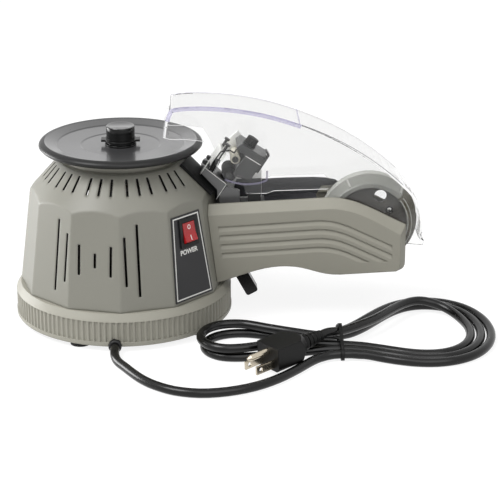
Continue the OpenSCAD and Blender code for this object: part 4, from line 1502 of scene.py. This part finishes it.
@dataclass
class CarouselDress:
    """The outer edge of the carousel in painted shade, and the crown of its knob with a painted reflection on
    its top.

    Attributes:
        rim_r: Radius at which the edge turns down.
        crown: Profile of the knob's crisp upper edge and its sunken face.
        steps: Steps round the crown.
        level: Least share of a level face's normal that points up.
    """

    rim_r: float = 59.0
    crown: tuple[Spot, ...] = ((0, 149.6), (11.06, 149.6), (11.06, 153.5), (10.8, 154.0), (10.4, 154.3),
                               (9.6, 154.35), (9.1, 154.1), (0, 154.1))
    steps: int = 64
    level: float = 0.7

    def on_rim(self, face: Face) -> bool:
        """Tells whether a face belongs to the carousel's edge."""
        return math.hypot(face.center.x / MM + MID_X, face.center.y / MM) > self.rim_r

    def build(self, bench: Bench, disc: bpy.types.Object) -> None:
        """Paints shade on the edge, crowns the knob and paints a reflection on the crown's top.

        Args:
            bench: Maker of the pieces.
            disc: The carousel's CAD object.
        """
        # Painted shade: the carousel's outer edge is darker than the disc
        bench.paint.zone(disc, Look.RIM, list(filter(self.on_rim, disc.data.polygons)))
        shape = bench.lathe(self.crown, self.steps)
        crown = bench.make("knob_crown", shape, Matrix.Identity(4), Look.POLISHED, Body.CAROUSEL)
        # Painted reflection: the crown's level top takes the lighter carousel grey
        top = [f for f in crown.data.polygons if f.normal.z > self.level]
        bench.paint.zone(crown, Look.DISC, top)


@dataclass
class DarkBayPlates:
    """A dark plate of painted shade along the back of the arm's bay, and the pad on the cutter's cheek.

    Attributes:
        shade_plane_y: Planes between which the plate of painted shade stands.
        reach: Start and end of the fence along the arm.
        depth: Depth of the plate below the shell's edge.
        crest: Height of the plate above the shell's edge, from its end to its start.
        edge_at: A point of the shell's inner edge in the side view.
        edge_slope: Slope of that edge.
        pad: Side view of the pad.
        pad_y: Planes of the pad.
        round_by: Radius of the rounded edges.
    """

    shade_plane_y: Spot = (20.75, 21.9)
    reach: Spot = (84.0, 173.0)
    depth: float = 4.0
    crest: tuple[Spot, ...] = ((173, -2.5), (169, 0.4), (163, 2.0), (152, 3.2), (130, 4.0), (84, 4.2))
    edge_at: Spot = (60.0, 96.4)
    edge_slope: float = 0.0455
    pad: tuple[Spot, ...] = ((86, 90.6), (109.8, 91.6), (109.8, 106.4), (90, 106))
    pad_y: Spot = (11.75, 12.05)
    round_by: float = 0.12

    def build(self, bench: Bench) -> None:
        """Makes the plate of painted shade and the pad.

        Args:
            bench: Maker of the pieces.
        """
        # Painted shade: a dark plate where the inside of the arm's back wall lies in shade
        heights = [(x, -self.depth) for x in self.reach] + list(self.crest)
        shade_line = [(x, self.edge_at[1] + self.edge_slope * (x - self.edge_at[0]) + h) for x, h in heights]
        for name, outline, (front, back) in (("bay_painted_shade", shade_line, self.shade_plane_y),
                                             ("cheek_pad", self.pad, self.pad_y)):
            shape = bench.plate(outline, 0, back - front)
            bench.make(name, shape, side_place(back), Look.DARK, Body.BASE, self.round_by)


@dataclass
class CutterDress:
    """Small fittings of the cutter head, in its own side view.

    Attributes:
        end: Left end of the cutter's block.
        wall: Thickness of the tape stop.
        stop: Outline of the tape stop's front, from the block's end.
        stop_back: Top and bottom of its back.
        stop_at: Planes of the tape stop.
        stop_round: Radius of its rounded edges.
        pads: Lowest point and depth of each pad on the stop.
        pad_root: Height of a pad at the stop.
        pad_tip: Bottom and top of a pad's tip above its lowest point.
        pad_at: Planes of the pads.
        pad_round: Radius of their rounded edges.
        gate: Lines of the two black legs that guide the tape.
        gate_width: Width of a leg.
        gate_at: Planes of the legs.
        highlight_lines: Lines of painted highlight along the edges on the front of the head, and their
            widths.
        highlight_at: Planes of the painted highlights.
        lens_at: Place of the lens, a white dome as a painted glint, across the head and up from its slope.
        lens: Profile of the lens.
    """

    end: float = -25.2
    wall: float = 0.8
    stop: tuple[Spot, ...] = ((0, -9), (0, 6.4), (1.6, 7.6), (1.2, 8.2))
    stop_back: Spot = (6.8, -9)
    stop_at: Spot = (8.6, 13.4)
    stop_round: float = 0.12
    pads: tuple[Spot, ...] = ((-1.4, 3.4), (3.2, 2.6))
    pad_root: float = 3.4
    pad_tip: Spot = (0.4, 2.8)
    pad_at: Spot = (9, 13)
    pad_round: float = 0.3
    gate: tuple[tuple[Spot, ...], ...] = (
        ((-21.7, -3.6), (-22.7, 7), (-22.5, 14.6), (-19.6, 17.4), (-16.7, 19.7), (-13.2, 19.3),
         (-12.8, 24.6)),
        ((-19.1, -3.8), (-20.2, 7), (-20.4, 12.5), (-20.1, 17.0)))
    gate_width: float = 0.9
    gate_at: Spot = (12.2, 13.4)
    highlight_lines: tuple[tuple[tuple[Spot, ...], float], ...] = (
        (((-4.4, 22.3), (9.6, 22.3)), 0.45),
        (((-25.1, -2.75), (-14.5, -3.95), (-4.1, -5.15)), 0.4),
        (((-4.1, -5.2), (-4.1, -19.8)), 0.35))
    highlight_at: Spot = (13.98, 14.08)
    lens_at: Spot = (-11.2, -11.5)
    lens: tuple[Spot, ...] = ((0, -0.1), (1.9, -0.1), (1.9, 0.5), (1.5, 0.9), (0, 1.1))

    def build(self, bench: Bench) -> None:
        """Makes the tape stop with its pads, the gate, the painted highlights and the lens with its painted
        glint.

        Args:
            bench: Maker of the pieces.
        """
        place = HEAD_PLACE @ side_place(0)
        back = self.end - self.wall
        stop = [(self.end + x, z) for x, z in self.stop] + [(back, z) for z in self.stop_back]
        shape = bench.plate(stop, *self.stop_at)
        bench.make("tape_stop", shape, place, Look.STEEL, Body.BASE, self.stop_round)
        for k, (low, deep) in enumerate(self.pads):
            tip_low, tip_high = (low + z for z in self.pad_tip)
            pad = [(back, low), (back, low + self.pad_root), (back - deep, tip_high), (back - deep, tip_low)]
            shape = bench.plate(pad, *self.pad_at)
            bench.make(f"tape_stop_pad_{k}", shape, place, Look.BLACK, Body.BASE, self.pad_round)
        for k, line in enumerate(self.gate):
            leg = bench.ribbon(line, self.gate_width, *self.gate_at)
            bench.make(f"tape_gate_{k}", leg, place, Look.DULL, Body.BASE)
        # Painted highlights: bright lines along the edges of the head's front
        for k, (line, width) in enumerate(self.highlight_lines):
            highlight = bench.ribbon(line, width, *self.highlight_at)
            bench.make(f"head_highlight_{k}", highlight, place, Look.PAINTED_HIGHLIGHT, Body.BASE)
        # The lens is a white dome, a painted glint
        spot = Matrix.Translation((self.end, *self.lens_at)) @ Matrix.Rotation(-math.pi / 2, 4, "Y")
        bench.make("tape_lens_glint", bench.lathe(self.lens), HEAD_PLACE @ spot, Look.MARK, Body.BASE)


@dataclass
class BladeSprings:
    """The two springs under the blade's carrier, as one fixed shape; the real ones shorten as it slides down.

    Attributes:
        along: Place of the springs along the head's slope.
        across: Places of the springs across it.
        radius: Radius of the coil.
        wire: Radius of the wire.
        turns: Turns of one spring.
        low: Lowest point of the wire's middle.
        high: Highest point of the wire's middle.
        keep: Share of the height that is left at the end of the stroke; not used.
    """

    along: float = -19.5
    across: Spot = (-8.0, 8.0)
    radius: float = 2.4
    wire: float = 0.35
    turns: int = 5
    low: float = -2.625
    high: float = 7.55
    keep: float = 0.54

    def coil(self, shape: Shape, y: float, steps: int = 16, sides: int = 8) -> None:
        """Adds one spring to a shape.

        Args:
            shape: The shape that takes it.
            y: Place across the slope.
            steps: Steps in one turn.
            sides: Sides of the wire.
        """
        count = steps * self.turns
        rings = []
        for i in range(count + 1):
            a = 2 * math.pi * i / steps
            out = Vector((math.cos(a), math.sin(a), 0))
            rise = (self.high - self.low) * i / count
            middle = Vector((self.along, y, self.low + rise)) + self.radius * out
            section = [math.cos(b) * out + math.sin(b) * Vector((0, 0, 1))
                       for b in (2 * math.pi * k / sides for k in range(sides))]
            rings.append([shape.verts.new(middle + self.wire * q) for q in section])
        for one, two in zip(rings, rings[1:]):
            for k in range(sides):
                shape.faces.new((one[k - 1], one[k], two[k], two[k - 1]))
        shape.faces.new(rings[0][::-1])
        shape.faces.new(rings[-1])

    def build(self, bench: Bench) -> None:
        """Makes the springs as one piece, sets it on the base and gives it a mesh of its own.

        Args:
            bench: Maker of the piece.
        """
        shape = bmesh.new()
        for y in self.across:
            self.coil(shape, y)
        springs = bench.make("blade_spring_pair", shape, HEAD_PLACE, Look.DARK_STEEL, Body.BASE)
        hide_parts("blade_springs")
        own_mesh(springs)


@dataclass
class Underside:
    """The screws of the base plate.

    Attributes:
        radius: Distance of the screws from the carousel axis.
        angles: Their directions in degrees.
        head_r: Radius of their heads.
    """

    radius: float = 60.0
    angles: tuple[float, ...] = (0.0, 80.0, 180.0, 280.0)
    head_r: float = 3.2

    def build(self, bench: Bench) -> None:
        """Sets the screws.

        Args:
            bench: Maker of the pieces.
        """
        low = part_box("base_plate")[0][2] / MM
        for k, a in enumerate(map(math.radians, self.angles)):
            seat = Matrix.Translation((self.radius * math.cos(a), self.radius * math.sin(a), low))
            bench.screw(f"base_screw_{k}", seat @ Matrix.Rotation(math.pi, 4, "X"), self.head_r, Body.BASE)


def main() -> None:
    """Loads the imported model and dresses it."""
    logging.basicConfig(level=logging.INFO)
    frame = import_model()
    nodes = frame["nodes"]
    Studio().build()
    paint = Paintbox()
    MainsCord().build(paint, nodes)
    for look, names in NODE_LOOKS.items():
        for name in names:
            paint.paint(nodes[name], look)
    log.info("%d nodes painted", sum(map(len, NODE_LOOKS.values())))
    bench = Bench(paint)
    CoverTrim().build(bench, nodes["clear_cover"])
    SwitchMarks().build(bench)
    ReelDress().build(bench, nodes["tape_reel"])
    HousingDress().build(bench, nodes["main_housing"])
    CarouselDress().build(bench, nodes["turntable"])
    DarkBayPlates().build(bench)
    CutterDress().build(bench)
    BladeSprings().build(bench)
    Underside().build(bench)


if __name__ == "__main__":
    main()
